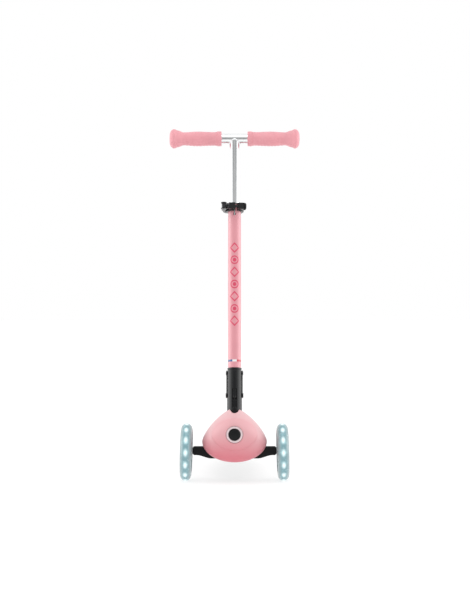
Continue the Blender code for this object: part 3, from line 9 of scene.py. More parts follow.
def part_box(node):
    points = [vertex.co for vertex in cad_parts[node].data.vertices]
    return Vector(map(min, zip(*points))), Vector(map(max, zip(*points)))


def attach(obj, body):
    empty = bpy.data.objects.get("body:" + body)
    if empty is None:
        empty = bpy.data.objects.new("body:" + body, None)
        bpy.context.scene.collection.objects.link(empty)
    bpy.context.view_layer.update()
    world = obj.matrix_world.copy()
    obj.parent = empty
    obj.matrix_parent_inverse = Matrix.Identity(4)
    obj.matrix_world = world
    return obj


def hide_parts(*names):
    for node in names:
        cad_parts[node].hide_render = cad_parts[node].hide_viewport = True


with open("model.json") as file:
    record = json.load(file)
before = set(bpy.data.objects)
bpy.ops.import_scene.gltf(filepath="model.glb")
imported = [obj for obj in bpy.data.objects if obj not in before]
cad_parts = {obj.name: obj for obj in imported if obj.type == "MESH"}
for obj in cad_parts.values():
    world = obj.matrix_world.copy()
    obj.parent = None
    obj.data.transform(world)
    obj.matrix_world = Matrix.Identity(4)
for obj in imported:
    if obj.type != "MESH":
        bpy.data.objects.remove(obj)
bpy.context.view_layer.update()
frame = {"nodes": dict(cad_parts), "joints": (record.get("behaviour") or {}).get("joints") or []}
scene = bpy.context.scene
joints = {joint["name"]: joint for joint in frame["joints"]}
mm = 0.001
print("frame loaded:", len(frame["nodes"]), "nodes")


# places of the bodies, read from the frame

def jointPoint(name):
    return Vector(joints[name]["pos_m"])


def jointAxis(name):
    return Vector(joints[name]["axis"])


stemAxis = jointAxis("bar_height")
stemLean = math.atan2(stemAxis.y, stemAxis.z)
stemPlace = Matrix.Translation(jointPoint("stem_fold")) @ Matrix.Rotation(-stemLean, 4, "X")
kingpinAxis = jointAxis("steering")
kingpinPlace = Matrix.Translation(jointPoint("steering")) @ Matrix.Rotation(
    math.atan2(-kingpinAxis.y, kingpinAxis.z), 4, "X")
rearPoint = jointPoint("rear_wheel_spin")
rearPlace = Matrix.Translation(rearPoint) @ Matrix.Rotation(math.pi / 2, 4, "Y")
brakePlace = Matrix.Translation(jointPoint("brake_press")) @ Matrix.Rotation(math.pi / 2, 4, "Y")
frontAxle = Vector((0, jointPoint("wheel_left_spin").y, jointPoint("wheel_left_spin").z))
facing = Matrix.Rotation(math.pi / 2, 4, "X")  # local Z points forward
across = Matrix.Rotation(math.pi / 2, 4, "Y")  # local Z points to +X
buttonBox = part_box("steering_lock_button")
lockPlace = Matrix.Translation((0, frontAxle.y, (buttonBox[0].z + buttonBox[1].z) / 2)) @ facing
clampRise, clampTurn = 408.5 * mm, math.radians(10)
clampPlace = stemPlace @ Matrix.Translation((0, 0, clampRise)) @ Matrix.Rotation(
    clampTurn, 4, "Z")
leverPlace = Matrix.Translation(jointPoint("clamp_lever_swing")) @ clampPlace.to_3x3().to_4x4()


def wheelPlace(word):
    # local Z points outward along the axle
    point, axis = jointPoint(f"wheel_{word}_spin"), jointAxis(f"wheel_{word}_spin")
    if axis.x * point.x < 0:
        axis.negate()
    return Matrix.Translation(point) @ Matrix.Rotation(math.atan2(axis.x, axis.z), 4, "Y")


# shader maths

class Signal:
    # one socket of a material's tree, with arithmetic on it
    def __init__(self, finish, socket):
        self.finish = finish
        self.socket = socket

    def calc(self, operation, *values):
        return self.finish.node("ShaderNodeMath", {"operation": operation},
                                dict(enumerate(values)))

    def __add__(self, other):
        return self.calc("ADD", self, other)

    def __sub__(self, other):
        return self.calc("SUBTRACT", self, other)

    def __rsub__(self, other):
        return self.calc("SUBTRACT", other, self)

    def __mul__(self, other):
        return self.calc("MULTIPLY", self, other)

    def __truediv__(self, other):
        return self.calc("DIVIDE", self, other)

    def __pow__(self, other):
        return self.calc("POWER", self, other)

    __radd__ = __add__
    __rmul__ = __mul__


class Finish:
    # a material being built
    def __init__(self, name, **sockets):
        self.material = bpy.data.materials.new(name)
        self.material.use_nodes = True
        self.tree = self.material.node_tree
        self.shader = self.tree.nodes["Principled BSDF"]
        self.feed(**sockets)

    def feed(self, **sockets):
        for name, value in sockets.items():
            self.join(self.shader.inputs[socketNames[name]], value)
        return self

    def join(self, socket, value):
        if isinstance(value, Signal):
            self.tree.links.new(value.socket, socket)
        elif hasattr(value, "__len__") and socket.type == "RGBA":
            socket.default_value = (*value[:3], 1)
        else:
            socket.default_value = value

    def node(self, kind, settings=None, sockets=None, output=0):
        made = self.tree.nodes.new(kind)
        for name, value in (settings or {}).items():
            if name == "stops":
                while len(made.color_ramp.elements) < len(value):
                    made.color_ramp.elements.new(0.5)
                for element, (place, colour) in zip(made.color_ramp.elements, value):
                    element.position = place
                    element.color = (*colour, 1)
            else:
                setattr(made, name, value)
        for name, value in (sockets or {}).items():
            self.join(made.inputs[name], value)
        return Signal(self, made.outputs[output])

    def here(self, place=None, stretch=(1, 1, 1)):
        # the piece's own coordinates, seen from a place and stretched
        point = self.node("ShaderNodeTexCoord", output="Object")
        if place is not None:
            point = self.node("ShaderNodeMapping", {"vector_type": "TEXTURE"}, {
                "Vector": point, "Location": place.to_translation(),
                "Rotation": place.to_euler()})
        if tuple(stretch) != (1, 1, 1):
            point = self.node("ShaderNodeVectorMath", {"operation": "MULTIPLY"},
                              {0: point, 1: stretch})
        return point

    def split(self, vector):
        parts = self.node("ShaderNodeSeparateXYZ", sockets={"Vector": vector})
        return [Signal(self, socket) for socket in parts.socket.node.outputs]

    def noise(self, point, scale, detail=3, roughness=0.5):
        return self.node("ShaderNodeTexNoise", {}, {
            "Vector": point, "Scale": scale, "Detail": detail, "Roughness": roughness})

    def step(self, value, low, high, start=0.0, end=1.0):
        return self.node("ShaderNodeMapRange", {"interpolation_type": "SMOOTHSTEP"}, {
            "Value": value, "From Min": low, "From Max": high, "To Min": start, "To Max": end})

    def blend(self, share, first, second):
        mixed = self.node("ShaderNodeMix", {"data_type": "RGBA"}, {0: share, 6: first, 7: second})
        return Signal(self, mixed.socket.node.outputs[2])

    def bump(self, height, strength, distance=0.1 * mm, after=None):
        sockets = {"Height": height, "Strength": strength, "Distance": distance}
        if after is not None:
            sockets["Normal"] = after
        return self.node("ShaderNodeBump", {}, sockets)


socketNames = {
    "colour": "Base Color", "roughness": "Roughness", "metallic": "Metallic",
    "normal": "Normal", "coat": "Coat Weight", "coatRoughness": "Coat Roughness",
    "glow": "Emission Color", "glowStrength": "Emission Strength",
    "transmission": "Transmission Weight", "ior": "IOR", "sheen": "Sheen Weight",
    "sheenRoughness": "Sheen Roughness", "specular": "Specular IOR Level",
    "subsurface": "Subsurface Weight", "subsurfaceScale": "Subsurface Scale"}


def shade(colour, factor):
    return tuple(channel * factor for channel in colour)


pink = (0.79, 0.34, 0.38)


def makePinkShell():
    # glossy moulded shell: painted shade low down and painted highlight up top, a fade by height
    # from deep pink to pale pink; faint flow clouds, orange peel, hairline scratches
    paintedShadePink, paintedHighlightPink = (0.71, 0.16, 0.205), (0.79, 0.47, 0.49)
    oval = dict(halfWide=48 * mm, halfTall=34 * mm, height=103 * mm)
    f = Finish("pinkShell", coat=0.25, coatRoughness=0.3, specular=0.4)
    x, y, height = f.split(f.here())
    sideways, up = x / oval["halfWide"], (height - oval["height"]) / oval["halfTall"]
    panel = (f.step(sideways * sideways + up * up, 0.96, 1.03, 1.0, 0.0)
             * f.step(y, -0.235, -0.225, 1.0, 0.0))
    clouds = f.noise(f.here(), 14, 4)
    scuffs = f.step(f.noise(f.here(stretch=(260, 60, 900)), 1.4, 5), 0.64, 0.72)
    low = f.step(height, 0.035, 0.075, 1.0, 0.25)
    # painted shade and highlight: deep pink low down fading to pale pink higher up, as light falls
    # from above
    colour = f.blend(f.step(height + clouds * 0.02, 0.052, 0.125), paintedShadePink, paintedHighlightPink)
    colour = f.blend(f.step(clouds, 0.35, 0.65) * 0.12, colour, pink)
    colour = f.blend(panel * 0.16, colour, shade(paintedShadePink, 1.08))
    colour = f.blend(scuffs * low * 0.2, colour, (0.84, 0.5, 0.53))
    peel = f.noise(f.here(), 1500, 2)
    f.feed(colour=colour, roughness=0.34 + clouds * 0.1 + scuffs * 0.12,
           normal=f.bump(peel, 0.10, 0.05 * mm, f.bump(scuffs, 0.12, -0.03 * mm)))
    return f.material


def makeTubePaint():
    # satin powder coat with a printed column of diamonds and dots and a three-part stripe
    settings = dict(
        centre=238.8 * mm, pitch=26.6 * mm, count=7, radius=14 * mm,
        halfTall=12 * mm, halfWide=11.6 * mm, stroke=0.34, dot=4.1 * mm,
        stripeLow=71.2 * mm, stripeHigh=75.6 * mm, stripeThird=4.7 * mm)
    paint = (0.735, 0.305, 0.345)
    raspberry, blue, white, red = ((0.68, 0.05, 0.12), (0.03, 0.09, 0.27),
                                   (0.88, 0.88, 0.88), (0.58, 0.02, 0.04))
    f = Finish("tubePaint", coat=0.6, coatRoughness=0.28, specular=0.6)
    x, y, z = f.split(f.here(stemPlace))
    around = x.calc("ARCTAN2", x, y * -1) * settings["radius"]
    first = settings["centre"] - (settings["count"] - 1) / 2 * settings["pitch"]
    steps = (z - first) / settings["pitch"]
    index = steps.calc("ROUND", steps)
    along = (z - first) - index * settings["pitch"]
    inside = f.step(steps, -0.5, -0.49) * f.step(steps, settings["count"] - 0.51,
                                                settings["count"] - 0.5, 1.0, 0.0)
    diamond = (along.calc("ABSOLUTE", along) / settings["halfTall"]
               + around.calc("ABSOLUTE", around) / settings["halfWide"])
    outline = f.step(diamond, 0.97, 1.0, 1.0, 0.0) * f.step(
        diamond, 1 - settings["stroke"] - 0.03, 1 - settings["stroke"])
    distance = (along * along + around * around) ** 0.5
    dot = f.step(distance, settings["dot"], settings["dot"] * 1.05, 1.0, 0.0)
    odd = index.calc("PINGPONG", index, 1)
    ring = f.step(distance, settings["dot"] * 1.6, settings["dot"] * 1.66) * f.step(
        distance, settings["dot"] * 2.3, settings["dot"] * 2.36, 1.0, 0.0)
    printed = (outline * (1 - odd) + (dot + ring) * odd) * inside
    stripe = (f.step(z, settings["stripeLow"], settings["stripeLow"] + 0.1 * mm)
              * f.step(z, settings["stripeHigh"], settings["stripeHigh"] + 0.1 * mm, 1.0, 0.0)
              * f.step(y, 3 * mm, 3.2 * mm, 1.0, 0.0))
    third = settings["stripeThird"]
    stripeColour = f.blend(f.step(x, -third, -third + 0.1 * mm), blue,
                           f.blend(f.step(x, third, third + 0.1 * mm), white, red))
    clouds = f.noise(f.here(), 22, 4)
    rub = f.step(f.noise(f.here(stretch=(500, 500, 40)), 1, 4), 0.66, 0.74)
    colour = f.blend(f.step(clouds, 0.35, 0.65), paint, shade(paint, 1.03))
    colour = f.blend(printed, colour, raspberry)
    colour = f.blend(stripe, colour, stripeColour)
    peel = f.noise(f.here(), 1900, 2)
    f.feed(colour=colour, roughness=0.33 + clouds * 0.06 + rub * 0.1 - stripe * 0.1,
           normal=f.bump(peel, 0.18, 0.06 * mm, f.bump(printed + stripe, 0.5, 0.03 * mm)))
    return f.material


def makeGripRubber():
    # soft matt rubber with a fine leather grain
    f = Finish("gripRubber", sheen=0.2, sheenRoughness=0.5, specular=0.3)
    point = f.here()
    grain = f.node("ShaderNodeTexVoronoi", {"feature": "SMOOTH_F1"},
                   {"Vector": point, "Scale": 1300, "Smoothness": 0.6})
    clouds = f.noise(point, 30, 4)
    worn = f.step(f.noise(point, 75, 5), 0.52, 0.68)
    colour = f.blend(f.step(clouds, 0.3, 0.7), shade(pink, 0.97), shade(pink, 1.06))
    colour = f.blend(worn * 0.08, colour, (0.86, 0.52, 0.54))
    f.feed(colour=colour, roughness=0.40 + grain * 0.12 - worn * 0.05,
           normal=f.bump(grain, 0.18, 0.06 * mm))
    return f.material


def makeBlackNylon():
    # glass-filled nylon: spark-eroded grain, paler fibres, dusty scuffs low down
    f = Finish("blackNylon", specular=0.22)
    point = f.here()
    grain = f.noise(point, 2300, 3, 0.7)
    fibre = f.step(f.noise(f.here(stretch=(1, 5, 1)), 900, 2), 0.66, 0.74)
    clouds = f.noise(point, 45, 4)
    dusty = f.step(f.split(point)[2], 0.03, 0.09, 1.0, 0.0) * f.step(clouds, 0.5, 0.72)
    colour = f.blend(fibre * 0.35, (0.0040, 0.0042, 0.0050), (0.018, 0.019, 0.021))
    colour = f.blend(dusty * 0.12, colour, (0.10, 0.095, 0.09))
    f.feed(colour=colour, roughness=0.4 + clouds * 0.1 + dusty * 0.2,
           normal=f.bump(grain, 0.45, 0.07 * mm))
    return f.material


def makeBlackCoat():
    # satin black coat on metal, with fine peel and rubbed spots
    f = Finish("blackCoat", coat=0.25, coatRoughness=0.2, specular=0.4)
    point = f.here()
    clouds = f.noise(point, 60, 4)
    rubbed = f.step(f.noise(f.here(stretch=(1, 1, 0.2)), 330, 5), 0.68, 0.76)
    colour = f.blend(rubbed * 0.3, (0.0020, 0.0026, 0.0036), (0.03, 0.032, 0.036))
    f.feed(colour=colour, roughness=0.23 + clouds * 0.08 + rubbed * 0.12,
           normal=f.bump(f.noise(point, 1700, 2), 0.2, 0.05 * mm))
    return f.material


def makePolishedAluminium():
    # drawn and polished tube: fine lengthwise streaks, a few handling marks
    f = Finish("polishedAluminium")
    _, _, z = f.split(f.here(stemPlace))
    barLow = (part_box("grip_left")[0].z + 5 * mm - jointPoint("stem_fold").z) / math.cos(stemLean)
    onBar = f.step(z, barLow, barLow + 3 * mm)
    lengthwise = f.noise(f.here(stemPlace, (1, 1, 0.02)), 1500, 3)
    sideways = f.noise(f.here(stemPlace, (0.02, 1, 1)), 1500, 3)
    streaks = lengthwise * (1 - onBar) + sideways * onBar
    marks = f.noise(f.here(), 40, 5)
    colour = f.blend(f.step(marks, 0.4, 0.75), (0.90, 0.915, 0.92), (0.82, 0.84, 0.85))
    f.feed(metallic=1.0, colour=colour, roughness=0.12 + streaks * 0.10 + marks * 0.06,
           normal=f.bump(streaks, 0.12, 0.03 * mm))
    return f.material


def makeZincSteel():
    # plated fasteners: cloudy plating, fine turning marks
    f = Finish("zincSteel", metallic=1.0)
    point = f.here()
    clouds = f.noise(point, 260, 4)
    fine = f.noise(f.here(stretch=(1, 1, 6)), 900, 3)
    colour = f.blend(f.step(clouds, 0.35, 0.7), (0.56, 0.57, 0.58), (0.42, 0.43, 0.45))
    f.feed(colour=colour, roughness=0.28 + fine * 0.14,
           normal=f.bump(fine, 0.15, 0.03 * mm))
    return f.material


def makeEven(name, look):
    # an even finish: clouds of two colours under a fine grain
    f = Finish(name, **look["sockets"])
    point = f.here()
    clouds = f.noise(point, *look["clouds"])
    base, spread = look["roughness"]
    f.feed(colour=f.blend(f.step(clouds, *look["cloudEdge"]), *look["colours"]),
           roughness=base + clouds * spread,
           normal=f.bump(f.noise(point, *look["grain"]), *look["relief"]))
    return f.material


def makeTyre(name, place, radius, lights, shift=0):
    # cast translucent polyurethane; the glow at each lamp is painted light, pale spots and emission
    # in the tyre's own material
    settings = dict(lampHalfLong=10.2 * mm, lampHalfWide=5.8 * mm)
    f = Finish(name, transmission=0.22, ior=1.5, coat=0.3, coatRoughness=0.1, specular=0.5)
    x, y, z = f.split(f.here(place))
    clouds = f.noise(f.here(), 70, 4)
    tread = f.step(z.calc("ABSOLUTE", z), 3 * mm, 11 * mm, 1.0, 0.0)
    colour = f.blend(f.step(clouds, 0.3, 0.7), (0.36, 0.48, 0.50), (0.41, 0.53, 0.545))
    colour = f.blend(tread * 0.6, colour, (0.18, 0.43, 0.50))
    dust = f.step(f.noise(f.here(stretch=(1, 1, 1)), 240, 5), 0.6, 0.72) * tread
    colour = f.blend(dust * 0.18, colour, (0.55, 0.53, 0.5))
    f.feed(roughness=0.2 + clouds * 0.1 + dust * 0.15,
           normal=f.bump(f.noise(f.here(), 1400, 2), 0.12, 0.05 * mm))
    # painted light: the lamp spots are painted pale into the colour and given emission, with a
    # fainter emission halo round each
    if lights:
        pitch = math.tau / lights
        turns = (y.calc("ARCTAN2", y, x) - shift) / pitch
        cell = (turns - turns.calc("ROUND", turns)) * (pitch * radius)
        lamp = ((cell / settings["lampHalfLong"]) ** 2 + (z / settings["lampHalfWide"]) ** 2) ** 0.5
        out = f.step((x * x + y * y) ** 0.5, radius * 0.80, radius * 0.93)
        core = f.step(lamp, 0.0, 1.15, 1.0, 0.0) * out
        paintedLampHalo = f.step(lamp, 0.5, 1.9, 1.0, 0.0) * out
        colour = f.blend(core, colour, (0.80, 0.90, 0.90))
        light = f.blend(core, (0.02, 0.05, 0.055), (0.42, 0.54, 0.55))
        glow = f.blend(paintedLampHalo, (0, 0, 0), light)
        f.feed(glow=glow, glowStrength=1.0)
    f.feed(colour=colour)
    return f.material


def makeLampStrip(name, place, lights, shift):
    f = Finish(name, specular=0.5)
    x, y, _ = f.split(f.here(place))
    turns = (y.calc("ARCTAN2", y, x) - shift) / (math.tau / lights)
    cell = turns - turns.calc("ROUND", turns)
    lit = f.step(cell.calc("ABSOLUTE", cell), 0.10, 0.16, 1.0, 0.0)
    grain = f.noise(f.here(), 500, 3)
    colour = f.blend(f.step(grain, 0.4, 0.7), (0.75, 0.78, 0.78), (0.66, 0.70, 0.70))
    f.feed(colour=colour, roughness=0.35 + grain * 0.1,
           glow=f.blend(lit, (0.02, 0.03, 0.03), (0.9, 1.0, 1.0)), glowStrength=2.0,
           normal=f.bump(grain, 0.15, 0.05 * mm))
    return f.material


def makeDeckMat():
    f = Finish("deckMat", specular=0.35)
    point = f.here()
    clouds = f.noise(point, 26, 4)
    worn = f.step(f.noise(point, 55, 5), 0.52, 0.7)
    base = (0.60, 0.20, 0.235)
    colour = f.blend(f.step(clouds, 0.35, 0.7), base, shade(base, 1.12))
    colour = f.blend(worn * 0.2, colour, (0.7, 0.42, 0.44))
    f.feed(colour=colour, roughness=0.6 + clouds * 0.12,
           normal=f.bump(f.noise(point, 1500, 3), 0.5, 0.08 * mm))
    return f.material


lampCount, lampShift = 14, math.radians(4.2)
pinkShell = makePinkShell()
tubePaint = makeTubePaint()
gripRubber = makeGripRubber()
blackNylon = makeBlackNylon()
blackCoat = makeBlackCoat()
polishedAluminium = makePolishedAluminium()
zincSteel = makeZincSteel()
bearingSteel = makeEven("bearingSteel", dict(
    clouds=(320, 3), cloudEdge=(0.4, 0.7), colours=((0.62, 0.63, 0.64), (0.50, 0.50, 0.50)),
    roughness=(0.2, 0.12), grain=(2000, 2), relief=(0.08, 0.02 * mm),
    sockets=dict(metallic=1.0)))
blackSteel = makeEven("blackSteel", dict(  # oily oxide, rubbed through in small spots
    clouds=(240, 4), cloudEdge=(0.5, 0.75), colours=((0.03, 0.03, 0.032), (0.10, 0.10, 0.105)),
    roughness=(0.3, 0.15), grain=(1500, 3), relief=(0.12, 0.03 * mm),
    sockets=dict(metallic=0.6)))
blackRubber = makeEven("blackRubber", dict(
    clouds=(90, 4), cloudEdge=(0.45, 0.75), colours=((0.02, 0.02, 0.02), (0.05, 0.05, 0.05)),
    roughness=(0.65, 0.15), grain=(1200, 3), relief=(0.5, 0.08 * mm),
    sockets=dict(specular=0.3)))
etched = dict(clouds=(120, 3), cloudEdge=(0.35, 0.7), roughness=(0.35, 0.1), grain=(2600, 2),
              relief=(0.35, 0.05 * mm), sockets=dict(specular=0.5))
greyPlastic, bezelPlastic = [
    makeEven(name, dict(etched, colours=(colour, shade(colour, 0.9))))
    for name, colour in (("greyPlastic", (0.30, 0.31, 0.33)),
                         ("bezelPlastic", (0.86, 0.71, 0.73)))]
frostedCore = makeEven("frostedCore", dict(
    clouds=(60, 4), cloudEdge=(0.35, 0.7), colours=((0.60, 0.66, 0.67), (0.68, 0.73, 0.74)),
    roughness=(0.32, 0.1), grain=(1600, 2), relief=(0.25, 0.06 * mm),
    sockets=dict(transmission=0.25, ior=1.46, specular=0.5)))
deckMat = makeDeckMat()
print("finishes made")


# mesh tools

def spun(profile, steps=96, closed=False):
    # a profile of (radius, height) pairs turned once about Z
    bm = bmesh.new()
    verts = [bm.verts.new((radius, 0, height)) for radius, height in profile]
    edges = [bm.edges.new(pair) for pair in zip(verts, verts[1:])]
    if closed:
        edges.append(bm.edges.new((verts[-1], verts[0])))
    bmesh.ops.spin(bm, geom=verts + edges, cent=(0, 0, 0), axis=(0, 0, 1), dvec=(0, 0, 0),
                   angle=math.tau, steps=steps, use_merge=True, use_duplicate=False)
    bmesh.ops.remove_doubles(bm, verts=bm.verts, dist=0.001 * mm)
    bmesh.ops.recalc_face_normals(bm, faces=bm.faces)
    return bm


def lathe(profile, steps=48, closed=False):
    # the same from a profile in millimetres
    return spun([(radius * mm, height * mm) for radius, height in profile], steps, closed)


def tube(inner, outer, low, high, steps=96):
    return spun([(inner, low), (outer, low), (outer, high), (inner, high)], steps, closed=True)


def rod(radius, start, end, steps=64):
    start, end = Vector(start), Vector(end)
    bm = bmesh.new()
    turn = (end - start).to_track_quat("Z", "Y").to_matrix().to_4x4()
    bmesh.ops.create_cone(bm, cap_ends=True, segments=steps, radius1=radius, radius2=radius,
                          depth=(end - start).length,
                          matrix=Matrix.Translation((start + end) / 2) @ turn)
    return bm


def ball(radius, steps=64):
    bm = bmesh.new()
    bmesh.ops.create_uvsphere(bm, u_segments=steps, v_segments=steps // 2, radius=radius)
    return bm


def block(low, high):
    low, high = Vector(low), Vector(high)
    bm = bmesh.new()
    bmesh.ops.create_cube(bm, size=1, matrix=Matrix.Translation((low + high) / 2)
                          @ Matrix.Diagonal((*(high - low), 1)))
    return bm


def slab(outline, low, high):
    # a flat outline of (x, y) points, given thickness along Z
    bm = bmesh.new()
    face = bm.faces.new([bm.verts.new((x, y, low)) for x, y in outline])
    raised = bmesh.ops.extrude_face_region(bm, geom=[face])["geom"]
    bmesh.ops.translate(bm, verts=[v for v in raised if isinstance(v, bmesh.types.BMVert)],
                        vec=(0, 0, high - low))
    bmesh.ops.recalc_face_normals(bm, faces=bm.faces)
    return bm


def arc(centre, radius, start, end, steps):
    angles = [start + (end - start) * i / steps for i in range(steps + 1)]
    return [(centre[0] + radius * math.cos(a), centre[1] + radius * math.sin(a)) for a in angles]


def curved(centre, inner, outer, start, end, low, high, steps):
    # a strip of a ring, given thickness along Z
    return slab(arc(centre, outer, start, end, steps) + arc(centre, inner, end, start, steps),
                low, high)


def combine(first, second, operation="UNION"):
    made = []
    for bm in (first, second):
        mesh = bpy.data.meshes.new("scrap")
        bm.to_mesh(mesh)
        bm.free()
        made.append(bpy.data.objects.new("scrap", mesh))
        scene.collection.objects.link(made[-1])
    modifier = made[0].modifiers.new("combine", "BOOLEAN")
    modifier.operation = operation
    modifier.object = made[1]
    result = bmesh.new()
    result.from_object(made[0], bpy.context.evaluated_depsgraph_get())
    for obj in made:
        mesh = obj.data
        bpy.data.objects.remove(obj)
        bpy.data.meshes.remove(mesh)
    bmesh.ops.remove_doubles(result, verts=result.verts, dist=0.002 * mm)
    return result


def cut(first, second):
    return combine(first, second, "DIFFERENCE")


def edgesOver(bm, degrees):
    limit = math.radians(degrees)
    return [e for e in bm.edges if len(e.link_faces) == 2 and e.calc_face_angle() > limit]


def roundEdges(bm, width, segments=2, degrees=35):
    bmesh.ops.bevel(bm, geom=edgesOver(bm, degrees), offset=width, offset_type="OFFSET",
                    segments=segments, profile=0.5, affect="EDGES", material=-1,
                    clamp_overlap=True)
    return bm


def smoothStep(value, low, high):
    share = min(1, max(0, (value - low) / (high - low)))
    return share * share * (3 - 2 * share)


def piece(name, bm, place, material, body, stands=(), evenShading=False):
    # the finished mesh in the frame, riding on its body in place of its CAD nodes
    if place is not None:
        bm.transform(place)
    mesh = bpy.data.meshes.new(name)
    bm.to_mesh(mesh)
    bm.free()
    mesh.materials.append(material)
    mesh.shade_smooth()
    mesh.set_sharp_from_angle(angle=math.radians(32))
    obj = bpy.data.objects.new(name, mesh)
    scene.collection.objects.link(obj)
    if evenShading:
        obj.modifiers.new("evenShading", "WEIGHTED_NORMAL").keep_sharp = True
    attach(obj, body)
    if stands:
        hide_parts(*([stands] if isinstance(stands, str) else stands))
    return obj


def wire(points, radius, closed=False):
    # a round wire along (x, y, z, thickness) points
    curve = bpy.data.curves.new("wire", "CURVE")
    curve.dimensions = "3D"
    curve.bevel_depth = radius
    curve.bevel_resolution = 3
    curve.use_fill_caps = not closed
    spline = curve.splines.new("POLY")
    spline.points.add(len(points) - 1)
    spline.use_cyclic_u = closed
    for spot, (x, y, z, thickness) in zip(spline.points, points):
        spot.co = (x, y, z, 1)
        spot.radius = thickness
    drawn = bpy.data.objects.new("wire", curve)
    scene.collection.objects.link(drawn)
    mesh = bpy.data.meshes.new_from_object(
        drawn.evaluated_get(bpy.context.evaluated_depsgraph_get()))
    bpy.data.objects.remove(drawn)
    bpy.data.curves.remove(curve)
    bm = bmesh.new()
    bm.from_mesh(mesh)
    bpy.data.meshes.remove(mesh)
    bmesh.ops.remove_doubles(bm, verts=bm.verts, dist=0.001 * mm)
    bmesh.ops.recalc_face_normals(bm, faces=bm.faces)
    return bm


def coil(name, place, radius, thick, low, high, turns, body, node):
    # a spring, with a point every 15 degrees
    count = turns * 24
    rise = high - low - 2 * thick
    points = [(radius * math.cos(math.tau * i / 24), radius * math.sin(math.tau * i / 24),
               low + thick + rise * i / count, 1) for i in range(count + 1)]
    return piece(name, wire(points, thick), place, zincSteel, body, node)


def fromCad(node, width, degrees=35):
    # a copy of a CAD node's mesh, its triangles merged into flat faces, with its edges rounded
    bm = bmesh.new()
    bm.from_mesh(frame["nodes"][node].data)
    bmesh.ops.remove_doubles(bm, verts=bm.verts, dist=0.005 * mm)
    bmesh.ops.dissolve_limit(bm, angle_limit=math.radians(0.5), verts=bm.verts, edges=bm.edges)
    return roundEdges(bm, width, 2, degrees)


# camera, floor and light

def makeStudio():
    view = dict(aside=1.0 * mm, distance=3.0, height=0.371, lens=83.8, sensor=36)
    camera = bpy.data.objects.new("camera", bpy.data.cameras.new("camera"))
    scene.collection.objects.link(camera)
    camera.location = (view["aside"], frontAxle.y - view["distance"], view["height"])
    camera.rotation_euler = (math.pi / 2, 0, 0)
    camera.data.lens = view["lens"]
    camera.data.sensor_width = view["sensor"]
    scene.camera = camera
    scene.view_settings.view_transform = "Standard"

    bm = bmesh.new()
    bmesh.ops.create_circle(bm, cap_ends=True, segments=96, radius=30)
    mesh = bpy.data.meshes.new("floor")
    bm.to_mesh(mesh)
    bm.free()
    floor = bpy.data.objects.new("floor", mesh)
    scene.collection.objects.link(floor)
    f = Finish("paleFloor", roughness=0.7, specular=0.1, colour=(0.3, 0.3, 0.3),
               glow=(1, 1, 1), glowStrength=0.74)
    mesh.materials.append(f.material)

    # white all round, and darker ahead and a little low, so that round metal shows a dark core;
    # each ramp gives where it starts and ends along its direction, and its two strengths
    sky = dict(dip=math.radians(15), ahead=(-0.99, -0.55, 0.22, 0.9),
               sides=(0.72, 0.95, 0.0, 1.3), shown=1.0)
    world = bpy.data.worlds.new("studio")
    scene.world = world
    world.use_nodes = True
    tree = world.node_tree

    def made(kind, *links, **settings):
        node = tree.nodes.new(kind)
        for name, value in settings.items():
            setattr(node, name, value)
        for slot, value in links:
            if hasattr(value, "is_linked"):
                tree.links.new(value, node.inputs[slot])
            else:
                node.inputs[slot].default_value = value
        return node

    def ramp(value, low, high, start, end):
        return made("ShaderNodeMapRange", ("Value", value), ("From Min", low),
                    ("From Max", high), ("To Min", start), ("To Max", end),
                    interpolation_type="SMOOTHSTEP").outputs[0]

    direction = made("ShaderNodeTexCoord").outputs["Generated"]
    ahead = made("ShaderNodeVectorMath", (0, direction),
                 (1, (0, math.cos(sky["dip"]), math.sin(sky["dip"]))),
                 operation="DOT_PRODUCT").outputs["Value"]
    parts = made("ShaderNodeSeparateXYZ", (0, direction))
    side = made("ShaderNodeMath", (0, parts.outputs["X"]), operation="ABSOLUTE").outputs[0]
    lift = made("ShaderNodeMath", (0, ramp(side, *sky["sides"])),
                (1, ramp(ahead, *sky["ahead"]))).outputs[0]
    seen = made("ShaderNodeLightPath").outputs["Is Camera Ray"]
    choice = made("ShaderNodeMix", (0, seen), (2, lift), (3, sky["shown"]))
    tree.links.new(choice.outputs[0], tree.nodes["Background"].inputs["Color"])

    lamps = [("topLight", (0, -0.9, 2.6), (0, -0.1, 0.3), 1.8, 9),
             ("leftLight", (-2.2, 0.3, 0.9), (0, -0.1, 0.4), 1.6, 5),
             ("rightLight", (2.2, 0.3, 0.9), (0, -0.1, 0.4), 1.6, 5)]
    for name, place, target, size, power in lamps:
        lamp = bpy.data.lights.new(name, "AREA")
        lamp.shape = "SQUARE"
        lamp.size = size
        lamp.energy = power
        obj = bpy.data.objects.new(name, lamp)
        scene.collection.objects.link(obj)
        obj.location = place
        obj.rotation_euler = (Vector(target) - Vector(place)).to_track_quat("-Z", "Y").to_euler()


makeStudio()
print("studio made")


# handlebar and grips

